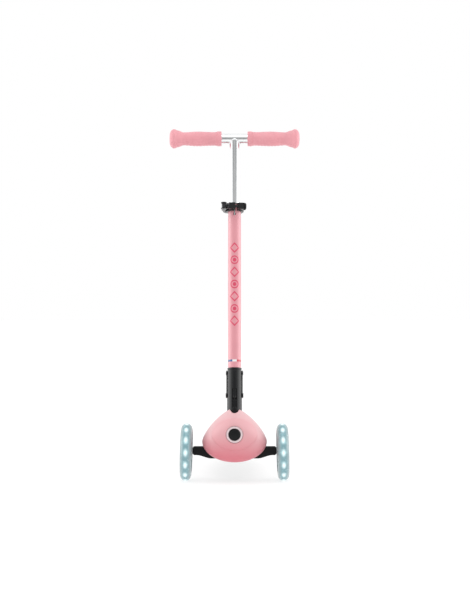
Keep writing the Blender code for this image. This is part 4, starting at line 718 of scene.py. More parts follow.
def makeGrip(side, word):
    grip = dict(length=114 * mm, endWall=6 * mm, bore=11.4 * mm, flare=21.3 * mm,
                flareAt=10 * mm, padPitch=7.3 * mm, padRise=0.35 * mm)
    shape = [(10, 21.3), (18, 18.4), (31, 14.3), (62, 15.8), (98, 14.8), (108, 16.4),
             (114, 16.1)]
    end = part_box(f"grip_{word}")[1 if side > 0 else 0].x * side
    profile = [(0, end - 1.6 * mm), (5.2 * mm, end - 1.6 * mm), (6.2 * mm, end - 0.3 * mm),
               (7.5 * mm, end)]
    for i in range(1, 9):  # the round outer edge of the flare
        turn = math.pi / 2 * i / 8
        profile.append((7.5 * mm + (grip["flare"] - 7.5 * mm) * math.sin(turn),
                        end - grip["flareAt"] * (1 - math.cos(turn))))
    rows = 58
    for i in range(1, rows + 1):
        place = grip["flareAt"] + (grip["length"] - 1.2 * mm - grip["flareAt"]) * i / rows
        for (p0, r0), (p1, r1) in zip(shape, shape[1:]):
            if place <= p1 * mm + 1e-9:
                radius = r0 + (r1 - r0) * smoothStep(place, p0 * mm, p1 * mm)
                break
        profile.append((radius * mm, end - place))
    inner = end - grip["length"]
    profile += [(15.6 * mm, inner + 0.3 * mm), (14.9 * mm, inner), (grip["bore"], inner),
                (grip["bore"], end - grip["endWall"]), (0, end - grip["endWall"])]
    bm = spun(profile, 96)
    turned = Matrix.Rotation(-stemLean, 4, "X") @ Matrix.Rotation(side * math.pi / 2, 4, "Y")
    # raised pads under the fingers
    pads = []
    for face in bm.faces:
        middle = face.calc_center_median()
        radius = math.hypot(middle.x, middle.y)
        place = end - middle.z
        below = (turned.to_3x3() @ Vector((middle.x, middle.y, 0))).z < 0.1 * radius
        if radius < 13 * mm or not 36 * mm < place < 97 * mm or not below:
            continue
        share = (place / grip["padPitch"]) % 1
        around = math.degrees(math.atan2(middle.y, middle.x)) % 22.5
        if share < 0.60 and 3.7 < around:
            pads.append(face)
    bmesh.ops.inset_region(bm, faces=pads, thickness=0.35 * mm, depth=grip["padRise"],
                           use_even_offset=True, use_boundary=True)
    grooves = [f for f in bm.faces if abs(math.hypot(*f.calc_center_median().xy) - 15.2 * mm)
               < 3 * mm and abs(end - f.calc_center_median().z - 103 * mm) < 1.2 * mm]
    bmesh.ops.inset_region(bm, faces=grooves, thickness=0.3 * mm, depth=-0.5 * mm)
    piece(f"{word}Grip", bm, Matrix.Translation((0, barCentre.y, barCentre.z)) @ turned,
          gripRubber, "handlebar", f"grip_{word}")


barRadius = 11.1 * mm
barCentre = Vector((0, 0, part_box("handlebar_tube")[1].z - barRadius))
barCentre.y = (jointPoint("stem_fold") + stemAxis * (
    (barCentre.z - jointPoint("stem_fold").z) / stemAxis.z)).y
barRise = (barCentre - jointPoint("stem_fold")).length
barPlace = stemPlace @ Matrix.Translation((0, 0, barRise))


def makeBar():
    bar = dict(radius=barRadius, bore=9.1 * mm, half=136.2 * mm, bottom=307 * mm,
               groove=1.0 * mm, grooveHalf=9)
    crossTube = tube(bar["bore"], bar["radius"], -bar["half"], bar["half"], 96)
    crossTube.transform(across)
    drop = bar["bottom"] - barRise
    upper = bmesh.new()
    bmesh.ops.create_cone(upper, cap_ends=True, segments=96, radius1=bar["radius"],
                          radius2=bar["radius"], depth=-drop,
                          matrix=Matrix.Translation((0, 0, drop / 2)))
    for vert in upper.verts:  # the rolled keyway along the back
        if abs(math.degrees(math.atan2(vert.co.x, vert.co.y))) < bar["grooveHalf"]:
            vert.co.y -= bar["groove"]
    upper = cut(upper, rod(bar["bore"], (0, 0, drop - mm), (0, 0, -bar["radius"] - mm)))
    upper = cut(upper, rod(bar["radius"] - 0.6 * mm, (-40 * mm, 0, 0), (40 * mm, 0, 0)))
    bm = combine(crossTube, upper)
    piece("handlebarTube", bm, barPlace, polishedAluminium, "handlebar",
          "handlebar_tube")

    # the weld bead where the two tubes meet, drawn along their shared line
    bead = dict(steps=160, wire=1.5 * mm, saddle=3 * mm, ripples=40)
    points = []
    for i in range(bead["steps"]):
        turn = math.tau * i / bead["steps"]
        x, y = bar["radius"] * math.cos(turn), bar["radius"] * math.sin(turn)
        points.append((x * 1.04, y * 0.97, -math.hypot(x, bead["saddle"]) - 0.2 * mm,
                       1 + 0.12 * math.sin(turn * bead["ripples"])))
    piece("weldBead", wire(points, bead["wire"], True), barPlace, polishedAluminium,
          "handlebar")

    glider = [(0, -10.3), (11.7, -10.3), (12.2, -9.8), (12.2, -0.3), (8.8, -0.3), (8.8, 12),
              (0, 12)]
    bm = roundEdges(spun([(r * mm, drop + z * mm) for r, z in glider], 64), 0.3 * mm)
    piece("stemGlider", bm, barPlace, blackNylon, "handlebar", "stem_glider")


makeBar()
makeGrip(-1, "left")
makeGrip(1, "right")
print("handlebar made")


# lower tube, guide bush and height clamp

def makeLowerTube():
    tubeSize = dict(radius=14 * mm, bore=12.5 * mm, low=58.7 * mm, high=415 * mm,
                    slit=3 * mm, slitLong=22 * mm, relief=2.6 * mm)
    bm = tube(tubeSize["bore"], tubeSize["radius"], tubeSize["low"], tubeSize["high"], 96)
    slitEnd = tubeSize["high"] - tubeSize["slitLong"]
    bm = cut(bm, block((-tubeSize["slit"] / 2, -30 * mm, slitEnd),
                       (tubeSize["slit"] / 2, -5 * mm, tubeSize["high"] + 5 * mm)))
    bm = cut(bm, rod(tubeSize["relief"], (0, -30 * mm, slitEnd), (0, -5 * mm, slitEnd), 32))
    roundEdges(bm, 0.25 * mm, 2, 50)
    piece("lowerTube", bm, stemPlace, tubePaint, "stem", "lower_tube",
          evenShading=True)

    bush = dict(inner=11.4 * mm, outer=12.2 * mm, flange=14 * mm, low=355 * mm,
                seat=415.3 * mm, top=417.2 * mm)
    bm = spun([(bush["inner"], bush["low"]), (bush["outer"], bush["low"]),
               (bush["outer"], bush["seat"]), (bush["flange"], bush["seat"]),
               (bush["flange"], bush["top"]), (bush["inner"], bush["top"])], 96, closed=True)
    bm = cut(bm, block((-mm, -30 * mm, bush["low"] - mm), (mm, -5 * mm, bush["top"] + mm)))
    bm = combine(bm, block((-1.7 * mm, 10.4 * mm, bush["low"] + 0.1 * mm),
                           (1.7 * mm, 11.8 * mm, bush["seat"] - 0.1 * mm)))
    roundEdges(bm, 0.2 * mm, 2, 50)
    piece("guideBush", bm, stemPlace, blackNylon, "stem", "guide_bush",
          evenShading=True)


def makeClamp():
    clamp = dict(bore=14.3 * mm, radius=20 * mm, half=9 * mm, ear=16 * mm, gap=6 * mm,
                 boltY=-21.3 * mm, bolt=3 * mm, cam=6.2 * mm, camSeat=4.4 * mm,
                 nut=8 * mm, nutHigh=5 * mm, fit=0.3 * mm, eye=4.6 * mm, pinHole=2.1 * mm)
    lever = dict(high=7.4 * mm, clear=0.9 * mm, thick=4.5 * mm, start=125, end=199,
                 grooves=4, grooveAt=131, groovePitch=6, groove=0.7 * mm)
    half, y, ear = clamp["half"], clamp["boltY"], clamp["ear"]
    camX = -(ear + clamp["camSeat"] + 0.6 * mm + clamp["cam"])
    ring = spun([(clamp["bore"], -half), (clamp["radius"] - 1.2 * mm, -half),
                 (clamp["radius"], -half + 1.2 * mm), (clamp["radius"], -2.2 * mm),
                 (clamp["radius"] - 0.8 * mm, -1.4 * mm), (clamp["radius"] - 0.8 * mm, 1.4 * mm),
                 (clamp["radius"], 2.2 * mm), (clamp["radius"], half - 1.2 * mm),
                 (clamp["radius"] - 1.2 * mm, half), (clamp["bore"], half)], 96, closed=True)
    ears = block((-ear, y - clamp["cam"], -half + 2 * mm), (ear, y + clamp["cam"], half - 2 * mm))
    ears = combine(ears, rod(clamp["cam"], (-ear - clamp["camSeat"], y, 0), (-ear + mm, y, 0), 48))
    roundEdges(ears, 1.6 * mm, 3, 50)
    bm = combine(ring, ears)
    bm = cut(bm, block((-clamp["gap"] / 2, y * 2, -half - mm),
                       (clamp["gap"] / 2, -clamp["bore"] / 2, half + mm)))
    bm = cut(bm, rod(clamp["bolt"] + clamp["fit"], (-40 * mm, y, 0), (40 * mm, y, 0), 32))
    roundEdges(bm, 0.3 * mm, 2, 48)
    piece("clampCollar", bm, clampPlace, blackCoat, "stem", "clamp_collar",
          evenShading=True)

    eye = clamp["eye"]
    start = ear + clamp["fit"]
    bm = combine(rod(clamp["bolt"], (camX, y, 0), (start + clamp["nutHigh"] - 0.4 * mm, y, 0), 32),
                 rod(eye, (camX, y, -eye), (camX, y, eye), 48))
    bm = cut(bm, rod(clamp["pinHole"], (camX, y, -2 * eye), (camX, y, 2 * eye), 32))
    piece("clampBolt", bm, clampPlace, blackSteel, "stem", "clamp_bolt")

    nut = spun([(clamp["bolt"] + clamp["fit"], start), (clamp["nut"], start),
                (clamp["nut"], start + 3 * mm), (clamp["nut"] - 1.5 * mm, start + clamp["nutHigh"]),
                (clamp["bolt"] + clamp["fit"], start + clamp["nutHigh"])], 72, closed=True)
    ribs = [f for f in nut.faces
            if abs(math.hypot(*f.calc_center_median().xy) - clamp["nut"]) < 0.1 * mm
            and math.degrees(math.atan2(*f.calc_center_median().xy)) % 15 < 7.6]
    bmesh.ops.inset_region(nut, faces=ribs, thickness=0.15 * mm, depth=-0.4 * mm)
    roundEdges(nut, 0.2 * mm, 2, 60)
    nut.transform(Matrix.Translation((0, y, 0)) @ across)
    piece("clampNut", nut, clampPlace, blackNylon, "stem", "clamp_nut")

    pin = rod(1.8 * mm, (camX, y, -7.1 * mm), (camX, y, 7.1 * mm), 32)
    piece("camPin", roundEdges(pin, 0.3 * mm), clampPlace, blackSteel, "stem",
          "cam_pin")

    high, thick = lever["high"], lever["thick"]
    inner = clamp["radius"] + lever["clear"]
    bm = rod(clamp["cam"], (0, 0, -high), (0, 0, high), 64)
    bm = combine(bm, block((-1.8 * mm, eye + 0.5 * mm, -high),
                           (-camX - clamp["radius"] - 1.5 * mm, -y - 4 * mm, high)))
    start, end = math.radians(lever["start"]), math.radians(lever["end"])
    handle = curved((-camX, -y), inner, inner + thick, start, end, -high, high, 40)
    roundEdges(handle, 1.1 * mm, 3, 50)
    bm = combine(bm, handle)
    for i in range(lever["grooves"]):  # finger grooves near the tip
        angle = math.radians(lever["grooveAt"] + lever["groovePitch"] * i)
        reach = inner + thick
        x, back = -camX + reach * math.cos(angle), -y + reach * math.sin(angle)
        bm = cut(bm, rod(lever["groove"], (x, back, -2 * high), (x, back, 2 * high), 16))
    bm = cut(bm, block((-3 * eye, -3 * eye, -eye - 0.5 * mm),
                       (3 * eye, eye + mm, eye + 0.5 * mm)))
    bm = cut(bm, rod(clamp["pinHole"], (0, 0, -2 * high), (0, 0, 2 * high), 32))
    roundEdges(bm, 0.3 * mm, 2, 55)
    piece("clampLever", bm, leverPlace, blackCoat, "clamp_lever",
          "clamp_lever", evenShading=True)


makeLowerTube()
makeClamp()
print("stem made")


# folding joint

def channel(radius, rear, steps=40):
    return arc((0, 0), radius, math.pi, math.tau, steps) + [(radius, rear), (-radius, rear)]


def makeFold():
    fold = dict(bore=14.4 * mm, radius=16 * mm, rear=13 * mm, top=53.1 * mm, bottom=-41.7 * mm,
                foot=18.3 * mm, floor=-15.5 * mm, slotHalf=5 * mm, slotLow=-28 * mm,
                slotHigh=14 * mm, rib=1.25 * mm, pin=4.3 * mm, rivet=47.4 * mm, plateIn=16.3 * mm,
                plateOut=17.65 * mm, plateHalf=6 * mm)
    reach = 2 * fold["radius"]
    bm = slab(channel(fold["radius"], fold["rear"]), fold["bottom"], fold["top"])
    roundEdges(bm, 1.0 * mm, 3, 60)
    bm = combine(bm, rod(14 * mm, (0, 0, fold["bottom"] - fold["foot"]),
                         (0, 0, fold["bottom"] + 5 * mm), 96))
    bm = cut(bm, slab(channel(fold["bore"], reach), fold["floor"], fold["top"] + 5 * mm))
    seat = cut(block((-6 * mm, -fold["bore"] - 0.3 * mm, fold["floor"] - mm),
                     (6 * mm, -9 * mm, -8.5 * mm)), ball(fold["bore"]))
    bm = combine(bm, seat)
    slot = block((-fold["slotHalf"], -fold["radius"] - mm, fold["slotLow"]),
                 (fold["slotHalf"], -fold["bore"] + mm, fold["slotHigh"]))
    roundEdges(slot, 2 * mm, 4, 60)
    bm = cut(bm, slot)
    bm = combine(bm, block((-fold["rib"], -fold["radius"] + 0.2 * mm, fold["slotLow"] - mm),
                           (fold["rib"], -fold["bore"] - 0.1 * mm, fold["slotHigh"] + mm)))
    for z in (0, fold["rivet"]):
        radius = fold["pin"] if z == 0 else 3.3 * mm
        bm = cut(bm, rod(radius, (-reach, 0, z), (reach, 0, z), 32))
    roundEdges(bm, 0.25 * mm, 2, 50)
    piece("foldingBracket", bm, stemPlace, blackCoat, "deck",
          "folding_bracket", evenShading=True)

    for side, word in ((-1, "left"), (1, "right")):
        outline = (arc((0, fold["rivet"]), fold["plateHalf"], 0, math.pi, 24)
                   + arc((0, 0), fold["plateHalf"], math.pi, math.tau, 24))
        bm = slab(outline, 0, fold["plateOut"] - fold["plateIn"])
        roundEdges(bm, 0.4 * mm, 3, 50)
        head = [(0, -1.6), (3, -1.6), (3, 1.2), (5, 1.2), (4.9, 1.6), (4.5, 2.0), (3.6, 2.25),
                (2.0, 2.35), (0, 2.4)]
        stud = lathe(head)
        stud.transform(Matrix.Translation((0, fold["rivet"], 0)))
        bm = combine(bm, stud)
        turn = Matrix(((0, 0, side, 0), (1, 0, 0, 0), (0, 1, 0, 0), (0, 0, 0, 1)))
        bm.transform(Matrix.Translation((side * fold["plateIn"], 0, 0)) @ turn)
        if side < 0:
            bmesh.ops.reverse_faces(bm, faces=bm.faces)
        piece(f"{word}HingePlate", bm, stemPlace, blackCoat, "deck",
              f"hinge_plate_{word}", evenShading=True)

    under = fold["plateOut"] + 0.3 * mm
    half = [(4.0, 0), (5.8, 0), (5.7, 0.4), (5.2, 0.75), (3.4, 1.0), (2.2, 1.0), (1.8, 0.6),
            (0, 0.6)]
    pin = ([(r * mm, -under - z * mm) for r, z in reversed(half)]
           + [(r * mm, under + z * mm) for r, z in half])
    piece("foldHingePin", spun(pin, 64), stemPlace @ across, blackCoat, "deck",
          "fold_hinge_pin")

    knuckle = dict(radius=14 * mm, collar=15.4 * mm, top=54.9 * mm, collarTop=58.4 * mm,
                   spigot=12.2 * mm, spigotTop=100.4 * mm, button=6.3 * mm, rise=37 * mm)
    profile = [(knuckle["radius"] * math.sin(math.pi / 2 * i / 12),
                -knuckle["radius"] * math.cos(math.pi / 2 * i / 12)) for i in range(13)]
    profile += [(knuckle["radius"], knuckle["top"]), (knuckle["collar"], knuckle["top"]),
                (knuckle["collar"], knuckle["collarTop"]),
                (knuckle["spigot"], knuckle["collarTop"]),
                (knuckle["spigot"], knuckle["spigotTop"] - 2 * mm),
                (knuckle["spigot"] - mm, knuckle["spigotTop"]), (0, knuckle["spigotTop"])]
    bm = spun(profile, 96)
    roundEdges(bm, 0.5 * mm, 3, 60)
    bm = cut(bm, rod(4.3 * mm, (-reach, 0, 0), (reach, 0, 0), 32))
    bm = cut(bm, rod(knuckle["button"], (0, -4 * mm, knuckle["rise"]),
                     (0, reach, knuckle["rise"]), 48))
    bm = cut(bm, rod(3.3 * mm, (0, -reach, knuckle["rise"]), (0, -2 * mm, knuckle["rise"]), 32))
    roundEdges(bm, 0.2 * mm, 2, 55)
    piece("foldKnuckle", bm, stemPlace, blackCoat, "stem",
          "fold_knuckle", evenShading=True)

    button = [(0, -9.7), (3, -9.7), (3, 6), (6, 6), (6, 17.3), (5.8, 18.0), (5.2, 18.4),
              (4.4, 18.5), (4.1, 18.1), (3.4, 18.1), (3.1, 18.4), (2.2, 18.4), (1.9, 18.0),
              (0, 18.0)]
    buttonPlace = stemPlace @ Matrix.Translation((0, 0, knuckle["rise"])) @ Matrix.Rotation(
        -math.pi / 2, 4, "X")
    piece("foldReleaseButton", lathe(button, 64), buttonPlace,
          greyPlastic, "fold_button", "fold_release_button")
    coil("foldButtonSpring", buttonPlace, 4.6 * mm, 0.5 * mm, -3.7 * mm, 1.7 * mm, 3, "stem",
         "fold_button_spring")

    z = fold["bottom"] - fold["foot"] / 2
    crossBolt = [(0, -23), (2.2, -23), (2.2, -22), (5.4, -22), (6, -22.4), (6, -20.4),
                 (3.7, -20.4), (3.7, 20.4), (6, 20.4), (6, 22.4), (5.4, 23), (0, 23)]
    bm = lathe(crossBolt)
    piece("bracketCrossBolt", bm, stemPlace @ Matrix.Translation((0, 0, z)) @ across, zincSteel,
          "deck", "bracket_cross_bolt")


makeFold()
print("folding joint made")


# nose cover, its ring and the lock button

nose = dict(halfWidth=68 * mm, widest=25 * mm, top=93 * mm, bottom=-18.5 * mm, power=1.40,
            rimTopY=6 * mm, slope=0.34, baseRise=89.5 * mm, wall=2.5 * mm, faceY=-60.5 * mm,
            hole=18.2 * mm, notch=13.5 * mm, notchRise=98 * mm, sides=144, rings=96,
            stepHalfWide=48 * mm, stepTop=34 * mm, stepBottom=34 * mm, stepRise=42.5 * mm,
            stepDepth=2.0 * mm)


def noseRim(angle, wall):
    half = nose["halfWidth"] - wall
    side, up = math.cos(angle), math.sin(angle)
    if up >= 0:
        power = 2 / nose["power"]
        x = half * math.copysign(abs(side) ** power, side)
        height = nose["widest"] + (nose["top"] - wall - nose["widest"]) * up ** power
    else:
        x = half * side
        height = nose["widest"] + (nose["widest"] - nose["bottom"] - wall) * up
    return Vector((x, nose["rimTopY"] - nose["slope"] * (nose["baseRise"] - height), height))


def nosePoint(share, angle, wall):
    # a point of the skin, from the ring's hole at share 0 to the rim at share 1
    rim = noseRim(angle, wall)
    buttonRise = lockPlace.translation.z - frontAxle.z
    start = Vector((nose["hole"] * math.cos(angle), nose["faceY"] + wall,
                    buttonRise + nose["hole"] * math.sin(angle)))
    turn = share * math.pi / 2
    spread = math.sin(turn) ** 1.1
    back = 1 - max(0, math.cos(turn)) ** 0.9
    point = Vector((start.x + (rim.x - start.x) * spread, start.y + (rim.y - start.y) * back,
                    start.z + (rim.z - start.z) * spread))
    if wall == 0:  # the raised panel round the ring
        tall = nose["stepTop"] if point.z > nose["stepRise"] else nose["stepBottom"]
        far = (abs(point.x / nose["stepHalfWide"]) ** 1.9
               + abs((point.z - nose["stepRise"]) / tall) ** 1.9) ** (1 / 1.9)
        point.y -= nose["stepDepth"] * (1 - smoothStep(far, 0.97, 1.0))
    return point + frontAxle


def makeNose():
    bm = bmesh.new()
    bmesh.ops.create_circle(bm, segments=nose["sides"], radius=1)
    turns = bm.verts.layers.float.new("turn")
    for vert in bm.verts:
        vert[turns] = math.atan2(vert.co.y, vert.co.x) % math.tau
        vert.co = nosePoint(0, vert[turns], 0)
    firstLoop = list(bm.edges)
    loop = firstLoop
    rings = nose["rings"]
    stations = [(i / rings, 0) for i in range(1, rings + 1)]
    stations += [(i / 16, nose["wall"]) for i in range(16, -1, -1)]
    for share, wall in stations:
        grown = bmesh.ops.extrude_edge_only(bm, edges=loop)["geom"]
        loop = [g for g in grown if isinstance(g, bmesh.types.BMEdge)]
        for vert in (g for g in grown if isinstance(g, bmesh.types.BMVert)):
            vert.co = nosePoint(share, vert[turns], wall)
    bmesh.ops.bridge_loops(bm, edges=firstLoop + loop)
    bmesh.ops.recalc_face_normals(bm, faces=bm.faces)
    notch = frontAxle + Vector((0, 0, nose["notchRise"]))
    bm = cut(bm, rod(nose["notch"], notch + Vector((0, -90 * mm, 0)),
                     notch + Vector((0, 40 * mm, 0)), 96))
    roundEdges(bm, 0.6 * mm, 3, 48)
    piece("noseCover", bm, None, pinkShell, "deck", "nose_cover",
          evenShading=True)

    bezel = [(12.8, 55.0), (17.9, 55.0), (17.9, 59.6), (17.6, 60.6), (16.8, 61.3), (15.4, 61.7),
             (13.9, 61.9), (13.2, 61.7), (12.8, 61.2)]
    bm = lathe(bezel, 96, closed=True)
    piece("noseBezel", bm, lockPlace, bezelPlastic, "deck", "nose_bezel")

    radius, face = 12.3, 65.0
    dome = [(radius * math.sin(math.pi / 2 * i / 12),
             face - 3.4 + 3.4 * math.cos(math.pi / 2 * i / 12)) for i in range(13)]
    dome[0] = (0, face)
    button = dome + [(12.3, 54), (4, 54), (4, 12), (0, 12)]
    bm = lathe(button, 96)
    piece("lockButton", bm, lockPlace, blackNylon, "lock_button",
          "steering_lock_button")
    coil("lockButtonSpring", lockPlace, 6 * mm, 0.6 * mm, 20.6 * mm, 49.7 * mm, 5, "deck",
         "lock_button_spring")


makeNose()
print("nose made")


# steering truck

def makeTruck():
    beam = dict(depth=18 * mm, top=12 * mm, endBottom=-6 * mm, middleBottom=-13 * mm,
                middleHalf=49 * mm, riseFrom=80 * mm, end=88.5 * mm, chamfer=3 * mm,
                hub=11.5 * mm, hubHalf=9 * mm, bore=4.3 * mm)
    low = [(0.0, beam["middleBottom"])]
    for i in range(13):
        x = beam["middleHalf"] + (beam["riseFrom"] - beam["middleHalf"]) * i / 12
        low.append((x, beam["middleBottom"] + (beam["endBottom"] - beam["middleBottom"])
                    * smoothStep(i / 12, 0, 1)))
    half = low + [(beam["end"] - beam["chamfer"], beam["endBottom"]),
                  (beam["end"], beam["endBottom"] + beam["chamfer"]),
                  (beam["end"], beam["top"] - beam["chamfer"]),
                  (beam["end"] - beam["chamfer"], beam["top"])]
    outline = half[1:] + [(-x, z) for x, z in reversed(half[1:])]
    bm = slab(outline, -beam["depth"] / 2, beam["depth"] / 2)
    roundEdges(bm, 1.8 * mm, 4, 60)
    bm.transform(facing)
    inverse = kingpinPlace.inverted() @ Matrix.Translation(frontAxle)
    bm.transform(inverse)
    hub = beam["hubHalf"]
    bm = cut(bm, rod(15.5 * mm, (0, 0, hub - 0.5 * mm), (0, 0, 5 * hub), 64))
    bm = cut(bm, rod(12.5 * mm, (0, 0, -5 * hub), (0, 0, -hub + 0.5 * mm), 64))
    bm = combine(bm, rod(beam["hub"], (0, 0, -hub), (0, 0, hub), 64))
    bm = cut(bm, rod(beam["bore"], (0, 0, -2 * hub), (0, 0, 2 * hub), 32))
    piece("axleBeam", bm, kingpinPlace, blackNylon, "truck", "axle_beam",
          evenShading=True)

    head = [(0, -12.3), (2.6, -12.3), (2.6, -13.3), (5.9, -13.3), (6.5, -11.6), (6.5, -9.3),
            (4, -9.3), (4, 42.9), (3.4, 43.5), (0, 43.5)]
    bm = lathe(head)
    piece("kingpinBolt", bm, kingpinPlace, zincSteel, "deck", "kingpin_bolt")
    nut = rod(6.5 * mm, (0, 0, 36.3 * mm), (0, 0, 42.8 * mm), 6)
    nut = cut(nut, rod(4.3 * mm, (0, 0, 30 * mm), (0, 0, 50 * mm), 32))
    piece("kingpinNut", roundEdges(nut, 0.3 * mm), kingpinPlace, zincSteel, "deck",
          "kingpin_nut")
    for word, start in (("Lower", 9.3), ("Upper", 30.6)):
        bush = [(4.3, start), (9.6, start), (10, start + 0.5), (9.4, start + 2.7),
                (10, start + 4.9), (9.6, start + 5.4), (4.3, start + 5.4)]
        bm = lathe(bush, closed=True)
        piece(f"steeringBush{word}", bm, kingpinPlace, blackRubber, "deck",
              f"steering_bush_{word.lower()}")

    piece("headBlock", fromCad("head_block", 0.5 * mm, 50), None, blackNylon, "deck",
          "head_block", evenShading=True)


makeTruck()
print("truck made")


# wheels

def tyreProfile(inner, radius, halfWidth, innerHalf, steps=30):
    depth = radius - inner
    outside = []
    for i in range(steps + 1):
        angle = math.pi / 2 * (1 - 2 * i / steps)
        outside.append((inner + 0.3 * mm + (depth - 0.3 * mm) * max(0, math.cos(angle)) ** 0.8,
                        halfWidth * math.sin(angle)))
    return [(inner, innerHalf), *outside, (inner, -innerHalf)]


def makeBearing(name, place, low, body, node):
    ring = [(4, 0), (5.6, 0), (5.6, 0.5), (9.3, 0.5), (9.3, 0), (10.7, 0), (11, 0.3), (11, 6.7),
            (10.7, 7), (9.3, 7), (9.3, 6.5), (5.6, 6.5), (5.6, 7), (4, 7)]
    bm = spun([(r * mm, low + z * mm) for r, z in ring], 64, closed=True)
    piece(name, bm, place, bearingSteel, body, node)


def makeCore(profile, ribLow, ribHigh, webHalf, ribs, rise):
    # the turned core, with ribs drawn up from both faces of its web
    bm = spun(profile, 96, closed=True)
    chosen = []
    for face in bm.faces:
        middle = face.calc_center_median()
        radius = math.hypot(middle.x, middle.y)
        turn = math.degrees(math.atan2(middle.y, middle.x)) % (360 / ribs)
        if ribLow < radius < ribHigh and abs(abs(middle.z) - webHalf) < 0.05 * mm and turn < 7.6:
            chosen.append(face)
    bmesh.ops.inset_region(bm, faces=chosen, thickness=0.6 * mm, depth=rise)
    return bm


def makeFrontWheel(side, word):
    wheel = dict(radius=60.3 * mm, inner=44.3 * mm, half=12.2 * mm, innerHalf=9.5 * mm,
                 rim=44 * mm, lampDepth=4.2 * mm, lampHalf=5 * mm, hub=14.8 * mm,
                 seat=11.3 * mm, web=2.5 * mm, hubLow=-12 * mm, hubHigh=10 * mm)
    body, place = f"wheel_{word}", wheelPlace(word)
    shift = -math.pi / 2 - side * lampShift
    tyre = makeTyre(f"glowPaintedTyre{word.capitalize()}", place, wheel["radius"], lampCount, shift)
    profile = tyreProfile(wheel["inner"], wheel["radius"], wheel["half"], wheel["innerHalf"])
    piece(f"{word}FrontTyre", spun(profile, 144, closed=True), place, tyre, body,
          f"front_tyre_{word}")
    rimIn = 38.05 * mm
    webRows = [(wheel["hub"] + (rimIn - wheel["hub"]) * share, wheel["web"])
               for share in (0, 0.08, 0.92, 1)]
    profile = [(wheel["hub"], wheel["hubHigh"]), *webRows, (rimIn, 8.4 * mm),
               (rimIn + 1.1 * mm, 9.5 * mm), (wheel["rim"], 9.5 * mm),
               (wheel["rim"], wheel["lampHalf"]),
               (wheel["rim"] - wheel["lampDepth"], wheel["lampHalf"]),
               (wheel["rim"] - wheel["lampDepth"], -wheel["lampHalf"]),
               (wheel["rim"], -wheel["lampHalf"]), (wheel["rim"], -9.5 * mm),
               (rimIn + 1.1 * mm, -9.5 * mm), (rimIn, -8.4 * mm),
               *[(r, -z) for r, z in reversed(webRows)], (wheel["hub"], wheel["hubLow"]),
               (wheel["seat"], wheel["hubLow"]), (wheel["seat"], -4.7 * mm), (8 * mm, -4.7 * mm),
               (8 * mm, -0.3 * mm), (wheel["seat"], -0.3 * mm), (wheel["seat"], wheel["hubHigh"])]
    bm = makeCore(profile, 17 * mm, 36 * mm, wheel["web"], 12, 2.2 * mm)
    piece(f"{word}WheelCore", roundEdges(bm, 0.3 * mm, 2, 60), place, frostedCore, body,
          f"wheel_core_{word}", evenShading=True)
    strip = tube(40.3 * mm, 43.0 * mm, -4.6 * mm, 4.6 * mm, 128)
    for i in range(lampCount):
        turn = Matrix.Rotation(math.tau * i / lampCount + shift, 4, "Z")
        lamp = block((42.6 * mm, -2.5 * mm, -2.5 * mm), (43.6 * mm, 2.5 * mm, 2.5 * mm))
        lamp.transform(turn)
        strip = combine(strip, lamp)
    lampStrip = makeLampStrip(f"lampStrip{word.capitalize()}", place, lampCount, shift)
    piece(f"{word}LightRing", strip, place, lampStrip, body, f"light_ring_{word}")
    makeBearing(f"{word}OuterBearing", place, 0, body, f"outer_bearing_{word}")
    makeBearing(f"{word}InnerBearing", place, -12 * mm, body, f"inner_bearing_{word}")
    cap = [(0, 11.5), (4.6, 11.5), (5.2, 12.0), (6.4, 12.2), (11.5, 12.2), (12.4, 11.9),
           (13.6, 12.0), (14.5, 11.6), (14.8, 11.0), (14.8, 10.3), (11.0, 10.3), (11.0, 7.3),
           (9.8, 7.3), (9.8, 10.9), (0, 10.9)]
    bm = lathe(cap, 96)
    dimples = [f for f in bm.faces if abs(math.hypot(*f.calc_center_median().xy) - 9 * mm) < mm
               and f.calc_center_median().z > 12 * mm
               and math.degrees(math.atan2(*f.calc_center_median().xy)) % 30 < 18.8]
    bmesh.ops.inset_region(bm, faces=dimples, thickness=0.5 * mm, depth=-0.4 * mm)
    piece(f"{word}HubCap", bm, place, greyPlastic, body, f"hub_cap_{word}")
    bolt = [(0, -45), (3.3, -45), (3.7, -44.6), (3.7, 7.3), (6.5, 7.3), (6.5, 10.2), (6, 10.7),
            (3, 10.7), (3, 8.6), (0, 8.6)]
    bm = lathe(bolt)
    piece(f"{word}AxleBolt", bm, place, zincSteel, "truck",
          f"front_axle_bolt_{word}")


